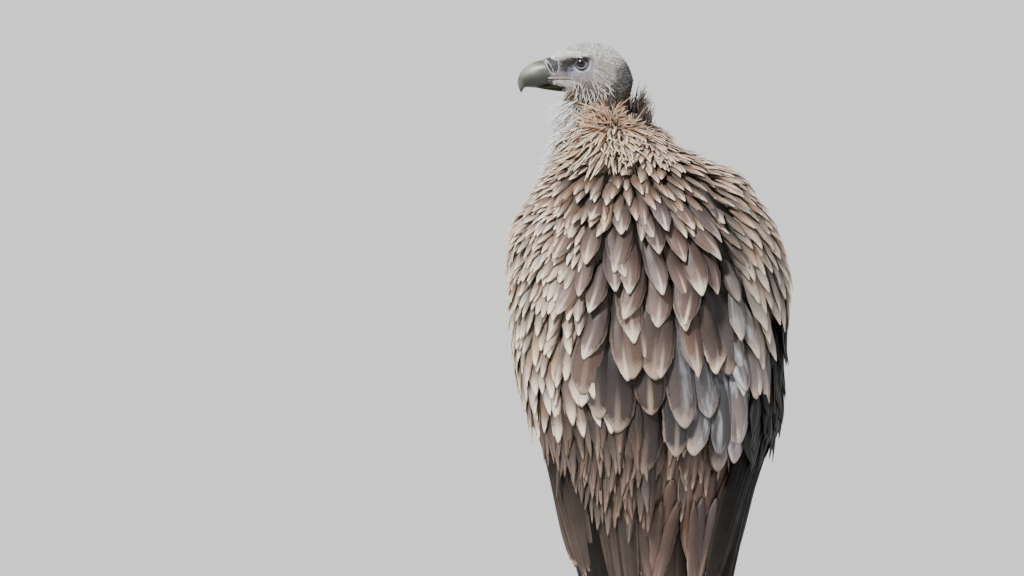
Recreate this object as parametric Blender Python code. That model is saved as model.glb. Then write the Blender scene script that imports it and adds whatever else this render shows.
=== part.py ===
"""A griffon vulture standing upright with its head turned over its left side, life size.

The bird faces -Y, its left side is +X and +Z is up. Metres. The floor is z = 0.
Every solid starts as a UV sphere whose rings are laid out as the cross-sections of that part,
and neighbours are parted by a thin Boolean cut, so that they meet face to face.
"""

import math
from collections import namedtuple

import bmesh
import bpy
from mathutils import Matrix, Vector

# ---------------------------------------------------------------- driving dimensions
GAP = 0.0005  # between neighbouring solids
EYE_HEIGHT = 0.841  # the eye above the floor
EYE_PLACE = (0.0627, -0.0844)  # X and Y of the point midway between the eyes
HEAD_TURN = math.radians(65)  # head turned to the bird's left
FOOT_X = 0.072  # each foot from the middle
FOOT_Y = -0.006
ANKLE_HEIGHT = 0.155  # the feathered heel joint
WING_TOP = 0.708  # top of the shoulder
WING_TIP = 0.010  # the longest primaries above the floor
COVERTS_END = 0.362  # where the coverts leave the secondaries bare
ARM_END = 0.205  # where the secondaries leave the primaries bare
WING_DEPTH = ((0.0, 0.010), (0.20, 0.013), (0.36, 0.019), (0.60, 0.021))  # at heights
WING_INSET = ((0.0, 0.010), (0.20, 0.006), (0.36, 0.001), (0.42, 0.0))  # in from the outline
TAIL_ROOT_Z = 0.350

Section = namedtuple("Section", "z cx cy half_width back front")

# The outline of the body with its folded wings, at heights above the floor: the middle of the
# section, half its width, and how far it reaches behind and in front of that middle.
BODY = (
    Section(0.764, 0.026, -0.064, 0.040, 0.036, 0.040),
    Section(0.752, 0.024, -0.060, 0.060, 0.050, 0.056),
    Section(0.735, 0.021, -0.053, 0.086, 0.068, 0.076),
    Section(0.713, 0.014, -0.043, 0.114, 0.086, 0.098),
    Section(0.690, 0.009, -0.033, 0.140, 0.102, 0.116),
    Section(0.665, 0.006, -0.024, 0.162, 0.116, 0.132),
    Section(0.635, 0.004, -0.016, 0.180, 0.128, 0.146),
    Section(0.600, 0.002, -0.008, 0.194, 0.137, 0.156),
    Section(0.560, 0.001, 0.000, 0.202, 0.143, 0.162),
    Section(0.510, 0.003, 0.008, 0.204, 0.146, 0.162),
    Section(0.450, 0.004, 0.018, 0.199, 0.146, 0.157),
    Section(0.400, 0.004, 0.028, 0.190, 0.142, 0.150),
    Section(0.350, 0.005, 0.040, 0.175, 0.134, 0.141),
    Section(0.300, 0.010, 0.052, 0.158, 0.122, 0.130),
    Section(0.250, 0.016, 0.062, 0.143, 0.107, 0.114),
    Section(0.200, 0.020, 0.071, 0.131, 0.091, 0.098),
    Section(0.150, 0.022, 0.079, 0.118, 0.074, 0.080),
    Section(0.100, 0.022, 0.086, 0.104, 0.059, 0.066),
    Section(0.050, 0.022, 0.091, 0.090, 0.047, 0.054),
    Section(0.000, 0.022, 0.095, 0.078, 0.037, 0.044),
)

COLOURS = {  # base colour, roughness
    "down": ((0.62, 0.60, 0.52), 0.9),
    "breast": ((0.42, 0.34, 0.26), 0.85),
    "covert": ((0.46, 0.39, 0.31), 0.8),
    "flight": ((0.12, 0.10, 0.09), 0.6),
    "ruff": ((0.52, 0.38, 0.25), 0.85),
    "cere": ((0.14, 0.15, 0.18), 0.6),
    "horn": ((0.48, 0.49, 0.40), 0.35),
    "scute": ((0.27, 0.28, 0.27), 0.6),
    "claw": ((0.06, 0.06, 0.06), 0.35),
    "eye": ((0.03, 0.02, 0.015), 0.05),
}


# ---------------------------------------------------------------- small mathematics
def mix(a, b, t):
    """The value that lies the share t of the way from a to b."""
    return a + (b - a) * t


def ease(t):
    """0 to 1 with level ends."""
    t = min(max(t, 0.0), 1.0)
    return t * t * (3 - 2 * t)


def spline(keys, x):
    """A smooth curve through keys, which are (x, value) with x rising, without overshoot at the ends."""
    if x <= keys[0][0]:
        return keys[0][1]
    for i in range(len(keys) - 1):
        (x0, v0), (x1, v1) = keys[i], keys[i + 1]
        if x <= x1:
            before = keys[max(i - 1, 0)]
            after = keys[min(i + 2, len(keys) - 1)]
            slope0 = (v1 - before[1]) / (x1 - before[0])
            slope1 = (after[1] - v0) / (after[0] - x0)
            h = x1 - x0
            t = (x - x0) / h
            return (
                (2 * t**3 - 3 * t**2 + 1) * v0
                + (t**3 - 2 * t**2 + t) * h * slope0
                + (3 * t**2 - 2 * t**3) * v1
                + (t**3 - t**2) * h * slope1
            )
    return keys[-1][1]


def body_section(z):
    """The body's section at height z."""
    rising = BODY[::-1]
    values = [
        spline([(s.z, s[field]) for s in rising], z) for field in range(1, len(Section._fields))
    ]
    return Section(z, *values)


def on_body(z, phi, inset=0.0):
    """The point on the body's outline at height z, phi round from the spine towards the left side."""
    s = body_section(z)
    depth = s.back if math.cos(phi) > 0 else s.front
    outward = Vector((s.half_width * math.sin(phi), depth * math.cos(phi), 0))
    reach = outward.length
    outward *= max(reach - inset, 0.2 * reach) / max(reach, 1e-6)
    return Vector((s.cx, s.cy, z)) + outward


# ---------------------------------------------------------------- building
UNCUT = {}  # each lofted mesh as it was before any cut, by its object's name


def clear_scene():
    """Removes every object that the scene starts with."""
    for obj in list(bpy.data.objects):
        bpy.data.objects.remove(obj, do_unlink=True)


def material(name):
    """The Principled material of this name from COLOURS, made once."""
    found = bpy.data.materials.get(name)
    if found:
        return found
    colour, roughness = COLOURS[name]
    made = bpy.data.materials.new(name)
    made.use_nodes = True
    shader = made.node_tree.nodes["Principled BSDF"]
    shader.inputs["Base Color"].default_value = (*colour, 1.0)
    shader.inputs["Roughness"].default_value = roughness
    shader.inputs["Metallic"].default_value = 0.0
    made.diffuse_color = (*colour, 1.0)
    return made


def loft(name, finish, around, along, place):
    """A closed solid from a UV sphere: place(s, turn) gives the point at share s from the first
    pole to the last, turn radians round."""
    bm = bmesh.new()
    bmesh.ops.create_uvsphere(bm, u_segments=around, v_segments=along, radius=1.0)
    for vert in bm.verts:
        s = math.acos(max(-1.0, min(1.0, vert.co.z))) / math.pi
        vert.co = place(s, math.atan2(vert.co.y, vert.co.x))
    bmesh.ops.triangulate(bm, faces=bm.faces)  # so that a piece and its cutter have the same facets
    bm.normal_update()
    bmesh.ops.recalc_face_normals(bm, faces=bm.faces)
    mesh = bpy.data.meshes.new(name)
    bm.to_mesh(mesh)
    bm.free()
    obj = bpy.data.objects.new(name, mesh)
    bpy.context.scene.collection.objects.link(obj)
    mesh.materials.append(material(finish))
    mesh.shade_smooth()
    UNCUT[name] = mesh.copy()
    return obj


def grown_copy(obj, by):
    """A cutter: a copy of obj as it was lofted, before any cut, with its skin moved out."""
    mesh = UNCUT.get(obj.name, obj.data).copy()
    bm = bmesh.new()
    bm.from_mesh(mesh)
    bm.normal_update()
    moves = [(vert, vert.normal * by) for vert in bm.verts]
    for vert, move in moves:
        vert.co += move
    bm.to_mesh(mesh)
    bm.free()
    cutter = bpy.data.objects.new("cutter_" + obj.name, mesh)
    bpy.context.scene.collection.objects.link(cutter)
    return cutter


def largest_island(bm):
    """Leaves only the connected piece of the mesh that has the most faces."""
    unseen, best = set(bm.faces), []
    while unseen:
        island, front = [], [unseen.pop()]
        while front:
            face = front.pop()
            island.append(face)
            near = {other for edge in face.edges for other in edge.link_faces} & unseen
            unseen -= near
            front.extend(near)
        best = max(best, island, key=len)
    keep = set(best)
    scraps = [face for face in bm.faces if face not in keep]
    bmesh.ops.delete(bm, geom=scraps, context="FACES")


def apply_boolean(obj, other, operation="DIFFERENCE"):
    """Applies one exact Boolean to obj, drops any scraps and removes the other object."""
    step = obj.modifiers.new("cut", "BOOLEAN")
    step.operation = operation
    step.object = other
    step.solver = "EXACT"
    graph = bpy.context.evaluated_depsgraph_get()
    mesh = bpy.data.meshes.new_from_object(obj.evaluated_get(graph))
    bm = bmesh.new()
    bm.from_mesh(mesh)
    bmesh.ops.remove_doubles(bm, verts=bm.verts, dist=1e-5)
    largest_island(bm)
    bm.to_mesh(mesh)
    bm.free()
    obj.modifiers.clear()
    obj.data = mesh
    bpy.data.objects.remove(other, do_unlink=True)


def part_from(obj, *neighbours, gap=GAP):
    """Cuts obj back by the gap from each neighbour that it runs into."""
    for neighbour in neighbours:
        apply_boolean(obj, grown_copy(neighbour, gap))


def box_cutter(low, high):
    """A hidden box between two corners."""
    bm = bmesh.new()
    bmesh.ops.create_cube(bm, size=1.0)
    low, high = Vector(low), Vector(high)
    for vert in bm.verts:
        vert.co = Vector(mix(low[i], high[i], vert.co[i] + 0.5) for i in range(3))
    mesh = bpy.data.meshes.new("box")
    bm.to_mesh(mesh)
    bm.free()
    obj = bpy.data.objects.new("cutter_box", mesh)
    bpy.context.scene.collection.objects.link(obj)
    return obj


def superellipse(turn, power):
    """The point at this turn on a superellipse of unit size."""
    c, s = math.cos(turn), math.sin(turn)
    return (
        math.copysign(abs(c) ** (2 / power), c),
        math.copysign(abs(s) ** (2 / power), s),
    )


# ---------------------------------------------------------------- trunk, wings and tail
def wing_cover(z, phi):
    """How far the folded wing lies over the trunk at this place: 0 outside it, 1 well under it."""
    front, rear = wing_edges(z)
    turn = abs(phi)
    over = min(front - turn, turn - rear) / math.radians(9)
    below_top = (WING_TOP - z) / 0.03
    return ease(over + 0.3) * ease(below_top + 0.3)



def wing_edges(z):
    """The wing's front and rear edges at height z, as angles from the spine."""
    front = spline(
        ((0.0, 88), (0.10, 94), (0.22, 106), (0.34, 122), (0.46, 138), (0.56, 150), (0.63, 148), (0.70, 122)),
        z,
    )
    rear = spline(
        ((0.0, 44), (0.10, 36), (0.22, 32), (0.40, 33), (0.56, 38), (0.65, 46), (0.70, 62)), z
    )
    return math.radians(front), math.radians(rear)


def trunk():
    """The body under the wings: breast, mantle, belly and rump in one."""
    low, high, waist = 0.215, 0.764, 0.375

    def place(s, turn):
        z = mix(high, low, s)
        middle = Vector((0.012, 0.050, z))
        if s <= 0 or s >= 1:
            section = body_section(z)
            return middle if s >= 1 else Vector((section.cx, section.cy, z))
        point = on_body(z, turn, 0.012 * wing_cover(z, turn))
        fall = max(0.0, (waist - z) / (waist - low))  # the belly and rump round off to the vent
        return middle.lerp(point, math.sqrt(max(0.0, 1 - fall * fall)))

    return loft("trunk", "breast", 26, 16, place)


def whole_wing(side, name):
    """The folded wing as one shell over the flank, narrowing to a rounded shoulder at the top and
    to blunt tips at the bottom."""

    def place(s, turn):
        z = mix(WING_TOP, WING_TIP, s**1.5)
        shoulder = min(1.0, (WING_TOP - z) / 0.050)
        tips = min(1.0, (z - WING_TIP) / 0.060)
        close = math.sqrt(max(0.0, 1 - (1 - min(shoulder, tips)) ** 2))
        front, rear = wing_edges(z)
        skin = spline(WING_DEPTH, z) * mix(0.4, 1.0, close)
        across, up = (0.0, 0.0) if s <= 0 or s >= 1 else superellipse(turn, 2.6)
        phi = (front + rear) / 2 - (front - rear) / 2 * across * mix(0.3, 1.0, close)
        return on_body(z, side * phi, spline(WING_INSET, z) + skin / 2 * (1 - up))

    return loft(name, "covert", 16, 18, place)


def slice_of(whole, name, finish, high, low):
    """The slice of a whole solid between two heights, as an object of its own with flat ends."""
    bm = bmesh.new()
    bm.from_mesh(whole.data)
    for level, up in ((high, 1), (low, -1)):
        everything = bm.verts[:] + bm.edges[:] + bm.faces[:]
        cut = bmesh.ops.bisect_plane(
            bm, geom=everything, dist=1e-6, plane_co=(0, 0, level), plane_no=(0, 0, up),
            clear_outer=True,
        )
        rim = [item for item in cut["geom_cut"] if isinstance(item, bmesh.types.BMEdge)]
        if rim:
            bmesh.ops.edgeloop_fill(bm, edges=rim)
    largest_island(bm)
    bm.normal_update()
    bmesh.ops.recalc_face_normals(bm, faces=bm.faces)
    mesh = bpy.data.meshes.new(name)
    bm.to_mesh(mesh)
    bm.free()
    obj = bpy.data.objects.new(name, mesh)
    bpy.context.scene.collection.objects.link(obj)
    mesh.materials.clear()
    mesh.materials.append(material(finish))
    return obj


def wing(side, word, body):
    """Coverts over the shoulder and flank, then the secondaries, then the long primaries."""
    whole = whole_wing(side, f"whole_wing_{word}")
    part_from(body, whole, gap=3 * GAP)  # its thin edges turn sharply
    half = GAP / 2
    return whole, (
        slice_of(whole, f"wing_{word}_coverts", "covert", WING_TOP + 0.1, COVERTS_END + half),
        slice_of(whole, f"wing_{word}_secondaries", "covert", COVERTS_END - half, ARM_END + half),
        slice_of(whole, f"wing_{word}_primaries", "flight", ARM_END - half, -0.1),
    )


def tail():
    """The closed tail, a slightly arched plate between the wing tips, whose end rests on the floor."""
    half_angle = math.radians(30)
    skin = 0.012

    def place(s, turn):
        z = max(0.0, mix(TAIL_ROOT_Z, -0.030, s))
        across, up = superellipse(turn, 2.8)
        close = math.sqrt(min(1.0, max(0.0, z + 0.004) / 0.030))
        section = body_section(z)
        half = section.half_width * math.sin(half_angle) * mix(0.80, 1.25, s) * mix(0.5, 1, close)
        inset = mix(0.060, 0.014, s)
        arch = 0.012 * (1 - across * across)
        back = section.back * math.cos(half_angle * 0.5) - inset
        if s <= 0 or s >= 1:
            across, up, arch = 0.0, 0.0, 0.012
        x = section.cx + half * across
        y = section.cy + back + arch + skin / 2 * up
        return Vector((x, y, z))

    return loft("tail", "flight", 18, 10, place)


# ---------------------------------------------------------------- neck and head
def head_frame():
    """Takes the head's own axes, forward -Y and up +Z from between the eyes, to the bird's."""
    return Matrix.Translation((*EYE_PLACE, EYE_HEIGHT)) @ Matrix.Rotation(HEAD_TURN, 4, "Z")


def in_head(forward, left, up):
    """The point this far forward, left and up from between the eyes."""
    return head_frame() @ Vector((left, -forward, up))


def neck():
    """The downy neck, from inside the head to inside the ruff."""
    top = in_head(-0.022, 0.0, -0.020)
    middle = in_head(-0.007, 0.0, -0.072)
    base = Vector((0.034, -0.070, 0.690))
    radii = ((0.0, 0.033), (0.3, 0.044), (0.6, 0.052), (1.0, 0.056))

    def place(s, turn):
        centre = top * (1 - s) ** 2 + middle * 2 * s * (1 - s) + base * s * s
        if s <= 0 or s >= 1:
            return centre
        radius = spline(radii, s)
        swing = Matrix.Rotation(HEAD_TURN * (1 - s), 3, "Z")
        return centre + swing @ Vector((radius * math.cos(turn), 1.08 * radius * math.sin(turn), 0))

    return loft("neck", "down", 16, 7, place)


def ruff():
    """The collar of long feathers round the neck's base, higher behind than in front."""
    lower = Vector((0.030, -0.062, 0.695))
    upper = Vector((0.038, -0.066, 0.792))
    radii = ((0.0, 0.040), (0.25, 0.062), (0.55, 0.078), (0.8, 0.086), (1.0, 0.080))

    def place(s, turn):
        centre = upper.lerp(lower, s)
        if s <= 0 or s >= 1:
            return centre
        radius = spline(radii, s)
        tilt = 0.026 * math.sin(turn) * (1 - 0.6 * s)
        return centre + Vector((radius * math.cos(turn), radius * math.sin(turn), tilt))

    return loft("ruff", "ruff", 18, 7, place)


def head():
    """The head behind the bill: flat sloping brow, full cheeks and rounded nape."""
    top = ((0.0, -0.022), (0.05, -0.004), (0.15, 0.0125), (0.28, 0.0240), (0.42, 0.0290), (0.56, 0.0288),
           (0.68, 0.0258), (0.80, 0.0200), (0.90, 0.0135), (1.0, 0.0090))
    bottom = ((0.0, -0.026), (0.05, -0.050), (0.18, -0.062), (0.34, -0.060), (0.50, -0.054), (0.62, -0.048),
              (0.74, -0.041), (0.86, -0.0375), (1.0, -0.035))
    width = ((0.0, 0.004), (0.05, 0.020), (0.16, 0.0305), (0.32, 0.0345), (0.48, 0.0335), (0.60, 0.0295),
             (0.72, 0.0235), (0.84, 0.0185), (1.0, 0.0150))
    back, front = -0.0695, 0.0500

    def place(s, turn):
        t = 1 - s
        forward = mix(back, front, (1 - math.cos(math.pi * t)) / 2 if t < 0.5 else mix(0.5, 1, 2 * t - 1))
        share = (forward - back) / (front - back)
        high, low = spline(top, share), spline(bottom, share)
        if s <= 0 or s >= 1:
            return in_head(forward, 0.0, (high + low) / 2)
        across, up = superellipse(turn, 2.15)
        half = spline(width, share)
        level = (high + low) / 2 + (high - low) / 2 * up
        narrower = 1 - 0.16 * max(up, 0.0) ** 2
        return in_head(forward, half * across * narrower, level)

    return loft("head", "down", 22, 14, place)


def bill_section(forward, top, bottom, half, turn, power=2.2):
    """A point on one upright section of the bill."""
    across, up = superellipse(turn, power)
    level = (top + bottom) / 2 + (top - bottom) / 2 * up
    narrower = 1 - 0.30 * max(up, 0.0) ** 2
    return in_head(forward, half * across * narrower, level)


def cere():
    """The bare skin saddle at the bill's base, which holds the nostrils."""
    back, front = 0.0375, 0.0610

    def place(s, turn):
        share = 1 - s
        forward = mix(back, front, share)
        top = spline(((0, 0.0118), (0.5, 0.0092), (1, 0.0050)), share)
        bottom = spline(((0, -0.0225), (1, -0.0262)), share)
        half = spline(((0, 0.0155), (0.5, 0.0160), (1, 0.0142)), share)
        if s <= 0 or s >= 1:
            return in_head(forward, 0.0, (top + bottom) / 2)
        return bill_section(forward, top, bottom, half, turn)

    return loft("cere", "cere", 16, 6, place)


def upper_bill():
    """The deep hooked upper bill."""
    keys_top = (
        (0.0, 0.0062), (0.25, 0.0020), (0.5, -0.0020), (0.72, -0.0085), (0.88, -0.0168), (1.0, -0.0290),
    )
    keys_bottom = (
        (0.0, -0.0262), (0.3, -0.0300), (0.55, -0.0325), (0.72, -0.0338), (0.86, -0.0385), (1.0, -0.0410),
    )
    keys_half = ((0.0, 0.0142), (0.35, 0.0128), (0.65, 0.0098), (0.85, 0.0062), (1.0, 0.0022))
    back, front = 0.0535, 0.0940

    def place(s, turn):
        share = 1 - s
        forward = mix(back, front, share)
        top, bottom = spline(keys_top, share), spline(keys_bottom, share)
        half = spline(keys_half, share)
        hook = 0.0055 * ease((share - 0.72) / 0.28)
        if s <= 0 or s >= 1:
            return in_head(forward, 0.0, (top + bottom) / 2)
        point = bill_section(forward, top, bottom, half, turn)
        sink = max(0.0, -superellipse(turn, 2.2)[1])
        return point + in_head(-hook * sink, 0, 0) - in_head(0, 0, 0)

    return loft("upper_bill", "horn", 16, 11, place)


def lower_bill():
    """The shallow lower bill, which closes under the hook."""
    keys_top = ((0.0, -0.0232), (0.5, -0.0280), (0.8, -0.0312), (1.0, -0.0335))
    keys_bottom = ((0.0, -0.0372), (0.4, -0.0378), (0.75, -0.0368), (1.0, -0.0345))
    keys_half = ((0.0, 0.0132), (0.45, 0.0112), (0.8, 0.0078), (1.0, 0.0035))
    back, front = 0.0360, 0.0790

    def place(s, turn):
        share = 1 - s
        forward = mix(back, front, share)
        top, bottom = spline(keys_top, share), spline(keys_bottom, share)
        if s <= 0 or s >= 1:
            return in_head(forward, 0.0, (top + bottom) / 2)
        return bill_section(forward, top, bottom, spline(keys_half, share), turn, 2.0)

    return loft("lower_bill", "horn", 14, 8, place)


def eye(side, word):
    """An eyeball, set in the head so that its front shows between the lids."""
    radius = 0.0108
    centre = (0.0, side * 0.0225, 0.0)

    def place(s, turn):
        polar = math.pi * s
        return in_head(
            centre[0] + radius * math.sin(polar) * math.cos(turn),
            centre[1] + radius * math.cos(polar),
            centre[2] + radius * math.sin(polar) * math.sin(turn),
        )

    return loft(f"eye_{word}", "eye", 12, 7, place)


# ---------------------------------------------------------------- legs and feet
def limb(name, finish, start, end, radii, around=16, along=8):
    """A round limb from start to end, whose radii change along it, flat where it meets the floor."""
    start, end = Vector(start), Vector(end)
    axis = (end - start).normalized()
    side_axis = Vector((1, 0, 0)).cross(axis).normalized()
    other = axis.cross(side_axis)

    def place(s, turn):
        point = start.lerp(end, s)
        if 0 < s < 1:
            radius = spline(radii, s)
            point += side_axis * (radius * math.cos(turn)) + other * (radius * math.sin(turn))
        point.z = max(point.z, 0.0)
        return point

    return loft(name, finish, around, along, place)


def thigh(side, word):
    """The feathered thigh, like a loose trouser leg down to the heel joint."""
    return limb(
        f"thigh_{word}", "breast",
        (side * 0.074, 0.030, 0.350), (side * FOOT_X, 0.004, ANKLE_HEIGHT - 0.012),
        ((0.0, 0.045), (0.25, 0.066), (0.5, 0.060), (0.75, 0.043), (1.0, 0.024)), 16, 8,
    )


def shank(side, word):
    """The bare scaly shank from the heel joint to the toes."""
    return limb(
        f"shank_{word}", "scute",
        (side * FOOT_X, 0.006, ANKLE_HEIGHT + 0.012), (side * FOOT_X, FOOT_Y, -0.010),
        ((0.0, 0.012), (0.15, 0.0165), (0.5, 0.0125), (0.8, 0.0150), (1.0, 0.0200)), 12, 8,
    )


TOES = {  # name: turn from straight ahead in degrees (outwards positive), length, thickness
    "inner": (-30, 0.066, 0.0098),
    "middle": (2, 0.100, 0.0100),
    "outer": (34, 0.072, 0.0088),
    "hind": (176, 0.044, 0.0092),
}


def toe_direction(side, turn):
    """The level direction of a toe that is turned this many degrees outwards."""
    angle = math.radians(turn)
    return Vector((side * math.sin(angle), -math.cos(angle), 0))


def toe(side, word, which):
    """One toe with its pads, flat underneath where it stands on the floor."""
    turn, length, radius = TOES[which]
    direction = toe_direction(side, turn)
    start = Vector((side * FOOT_X, FOOT_Y, radius * 0.92)) + direction * 0.004
    across = direction.cross(Vector((0, 0, 1)))

    def place(s, round_turn):
        centre = start + direction * (length * s)
        swell = 1 + 0.10 * math.cos(6 * math.pi * s)
        size = radius * swell * mix(1.0, 0.72, s)
        centre.z = size * 0.9
        if s <= 0 or s >= 1:
            return centre
        close = math.sqrt(max(0.0, 1 - (1 - min(1.0, 5 * s, 5 * (1 - s))) ** 2))
        size *= mix(0.35, 1.0, close)
        up = math.sin(round_turn) * size
        point = centre + across * (math.cos(round_turn) * size)
        point.z = max(centre.z + up, 0.0)
        return point

    return loft(f"toe_{word}_{which}", "scute", 10, 7, place)


def claw(side, word, which):
    """The blunt curved claw that continues a toe."""
    turn, length, radius = TOES[which]
    direction = toe_direction(side, turn)
    across = direction.cross(Vector((0, 0, 1)))
    reach = 0.036 if which == "hind" else 0.032
    root = Vector((side * FOOT_X, FOOT_Y, 0)) + direction * (length + 0.001)
    bend = math.radians(62)
    arc = reach / bend

    def place(s, round_turn):
        angle = bend * s
        centre = root + direction * (arc * math.sin(angle))
        centre.z = radius * 0.78 + 0.0035 - arc * (1 - math.cos(angle)) * 0.62
        size = radius * 0.60 * mix(1.0, 0.16, s**1.3)
        if s <= 0 or s >= 1:
            centre.z = max(centre.z, 0.0006)
            return centre
        point = centre + across * (math.cos(round_turn) * size * 0.8)
        point.z += math.sin(round_turn) * size
        point.z = max(point.z, 0.0004)
        return point

    return loft(f"claw_{word}_{which}", "claw", 8, 5, place)


# ---------------------------------------------------------------- assembly
def centre_on_origin():
    """Moves every object so that the middle of the whole model's base is the origin."""
    graph = bpy.context.evaluated_depsgraph_get()
    corners = [
        vert.co for obj in bpy.data.objects for vert in obj.evaluated_get(graph).data.vertices
    ]
    low = Vector(min(c[i] for c in corners) for i in range(3))
    high = Vector(max(c[i] for c in corners) for i in range(3))
    move = Vector((-(low.x + high.x) / 2, -(low.y + high.y) / 2, -low.z))
    for obj in bpy.data.objects:
        obj.data.transform(Matrix.Translation(move))
    print("moved to the origin by", [round(v, 5) for v in move])


def legs(body, wings):
    """Both legs with their toes and claws, parted from each other."""
    for side, word in ((1, "left"), (-1, "right")):
        leg_thigh, leg_shank = thigh(side, word), shank(side, word)
        part_from(leg_thigh, body, leg_shank, wings[word])
        placed = [leg_shank]
        for which in TOES:
            digit, nail = toe(side, word, which), claw(side, word, which)
            part_from(digit, *placed)
            part_from(nail, digit)
            placed.append(digit)


def main():
    """Builds the bird."""
    clear_scene()
    skull = head()
    beak, jaw, saddle = upper_bill(), lower_bill(), cere()
    part_from(saddle, beak)
    part_from(jaw, beak, saddle)
    eyes = [eye(1, "left"), eye(-1, "right")]
    part_from(skull, beak, jaw, saddle, *eyes)
    throat = neck()
    part_from(throat, skull)
    collar = ruff()
    part_from(collar, throat, skull)
    body = trunk()
    part_from(body, collar, throat)
    wings = {word: wing(side, word, body)[0] for side, word in ((1, "left"), (-1, "right"))}
    rump = tail()
    part_from(rump, body, *wings.values())
    legs(body, wings)
    for whole in wings.values():
        bpy.data.objects.remove(whole, do_unlink=True)
    centre_on_origin()


main()
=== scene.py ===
"""A life-size griffon vulture standing with its head turned over its left side."""

import logging
import math
from collections.abc import Callable, Sequence
from dataclasses import dataclass, field
from enum import Enum

import bmesh
import bpy
import numpy as np
from mathutils import Matrix, Vector


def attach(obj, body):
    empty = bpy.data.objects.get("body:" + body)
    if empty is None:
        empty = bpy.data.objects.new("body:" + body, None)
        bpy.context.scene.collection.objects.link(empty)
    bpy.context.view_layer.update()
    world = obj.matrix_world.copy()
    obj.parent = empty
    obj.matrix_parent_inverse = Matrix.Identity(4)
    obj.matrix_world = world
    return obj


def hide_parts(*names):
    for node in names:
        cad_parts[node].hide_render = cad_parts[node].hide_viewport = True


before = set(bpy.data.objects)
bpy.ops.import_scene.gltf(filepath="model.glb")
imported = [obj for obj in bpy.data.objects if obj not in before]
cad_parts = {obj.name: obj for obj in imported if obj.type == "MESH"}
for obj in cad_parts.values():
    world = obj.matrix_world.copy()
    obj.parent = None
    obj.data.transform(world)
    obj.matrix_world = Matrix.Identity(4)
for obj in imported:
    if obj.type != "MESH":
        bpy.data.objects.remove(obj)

LOG = logging.getLogger("vulture")
Array = np.ndarray
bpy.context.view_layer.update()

# The base of the solid model was centred on the origin by this much, in metres.
SHIFT = np.array((-0.00256, -0.00444, 0.0))
HEAD_TURN = math.radians(65)
BETWEEN_EYES = np.array((0.0627, -0.0844, 0.841))
# The least height above the floor, in metres.
FEATHER_GAP = 0.0006
LEG_GAP = 0.0005  # of shanks and claws
TOE_GAP = 0.0004
DARKEST, LIGHTEST = 0.004, 0.95  # the limits of every channel of colour
TRUNK_RADIUS = 0.17  # turns a swell in metres into a share of the trunk

CREAM = (0.62, 0.53, 0.40)
CHALK = (0.93, 0.92, 0.89)


# ------------------------------------------------------------------ curves and chance
def curve(x: Array, keys: Sequence[tuple[float, float]]) -> Array:
    """A smooth curve through (place, value) keys.

    Args:
        x: places to read the curve at.
        keys: key points with rising places.

    Returns:
        The values, held level beyond either end.
    """
    px = np.array([k[0] for k in keys], float)
    py = np.array([k[1] for k in keys], float)
    slope = np.gradient(py, px)
    x = np.clip(np.asarray(x, float), px[0], px[-1])
    i = np.clip(np.searchsorted(px, x, side="right") - 1, 0, len(px) - 2)
    h = px[i + 1] - px[i]
    t = (x - px[i]) / h
    return (
        (2 * t**3 - 3 * t**2 + 1) * py[i]
        + (t**3 - 2 * t**2 + t) * h * slope[i]
        + (3 * t**2 - 2 * t**3) * py[i + 1]
        + (t**3 - t**2) * h * slope[i + 1]
    )


def ease(x: Array, low: float = 0.0, high: float = 1.0) -> Array:
    """A smooth step from 0 at low to 1 at high."""
    t = np.clip((np.asarray(x, float) - low) / (high - low), 0.0, 1.0)
    return t * t * (3 - 2 * t)


def hump(x: Array, middle: float, spread: float) -> Array:
    """A bell of height 1 round the middle."""
    return np.exp(-(((np.asarray(x, float) - middle) / spread) ** 2))


def wander(points: Array, size: float, seed: int) -> Array:
    """A smooth value that wanders between about -1 and 1 over space, in hills of this size."""
    chance = np.random.default_rng(seed)
    waves = chance.normal(0, 1, (7, 3)) * (2.2 / size)
    return np.sin(points @ waves.T + chance.uniform(0, 6.3, 7)).mean(-1) * 1.9


def blend(a: Array, b: Array, share: Array) -> Array:
    """Colours that lie between rows a and b by each row's share."""
    share = np.asarray(share, float)[..., None]
    return np.asarray(a, float) * (1 - share) + np.asarray(b, float) * share


def layered(tint: Array, *coats: tuple) -> Array:
    """Lays coats of colour over rows of colour, one after another.

    Args:
        tint: the rows.
        coats: pairs of a colour and the share it takes of each row.

    Returns:
        The new rows.
    """
    for colour, share in coats:
        tint = blend(tint, colour, share)
    return tint


def unit(rows: Array) -> Array:
    """Each row at length 1."""
    return rows / np.maximum(np.linalg.norm(rows, axis=-1, keepdims=True), 1e-12)


# ------------------------------------------------------------------ the surfaces that feathers grow on
class Form:
    """A surface with two coordinates. u runs with the lie of the feathers."""

    facing: float = 1.0

    def point(self, u: Array, v: Array) -> Array:
        """The surface's points, one row for each pair of coordinates."""
        raise NotImplementedError

    def tangents(self, u: Array, v: Array) -> tuple[Array, Array, Array]:
        """How the surface runs at each place.

        Args:
            u: coordinates along the lie.
            v: coordinates across it.

        Returns:
            The length of one step of u, that of one step of v, and the outward normals.
        """
        e = 1e-4
        du = (self.point(u + e, v) - self.point(u - e, v)) / (2 * e)
        dv = (self.point(u, v + e) - self.point(u, v - e)) / (2 * e)
        normal = unit(np.cross(dv, du)) * self.facing
        lu = np.maximum(np.linalg.norm(du, axis=-1), 1e-3)
        lv = np.maximum(np.linalg.norm(dv, axis=-1), 1e-3)
        return lu, lv, normal


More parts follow.
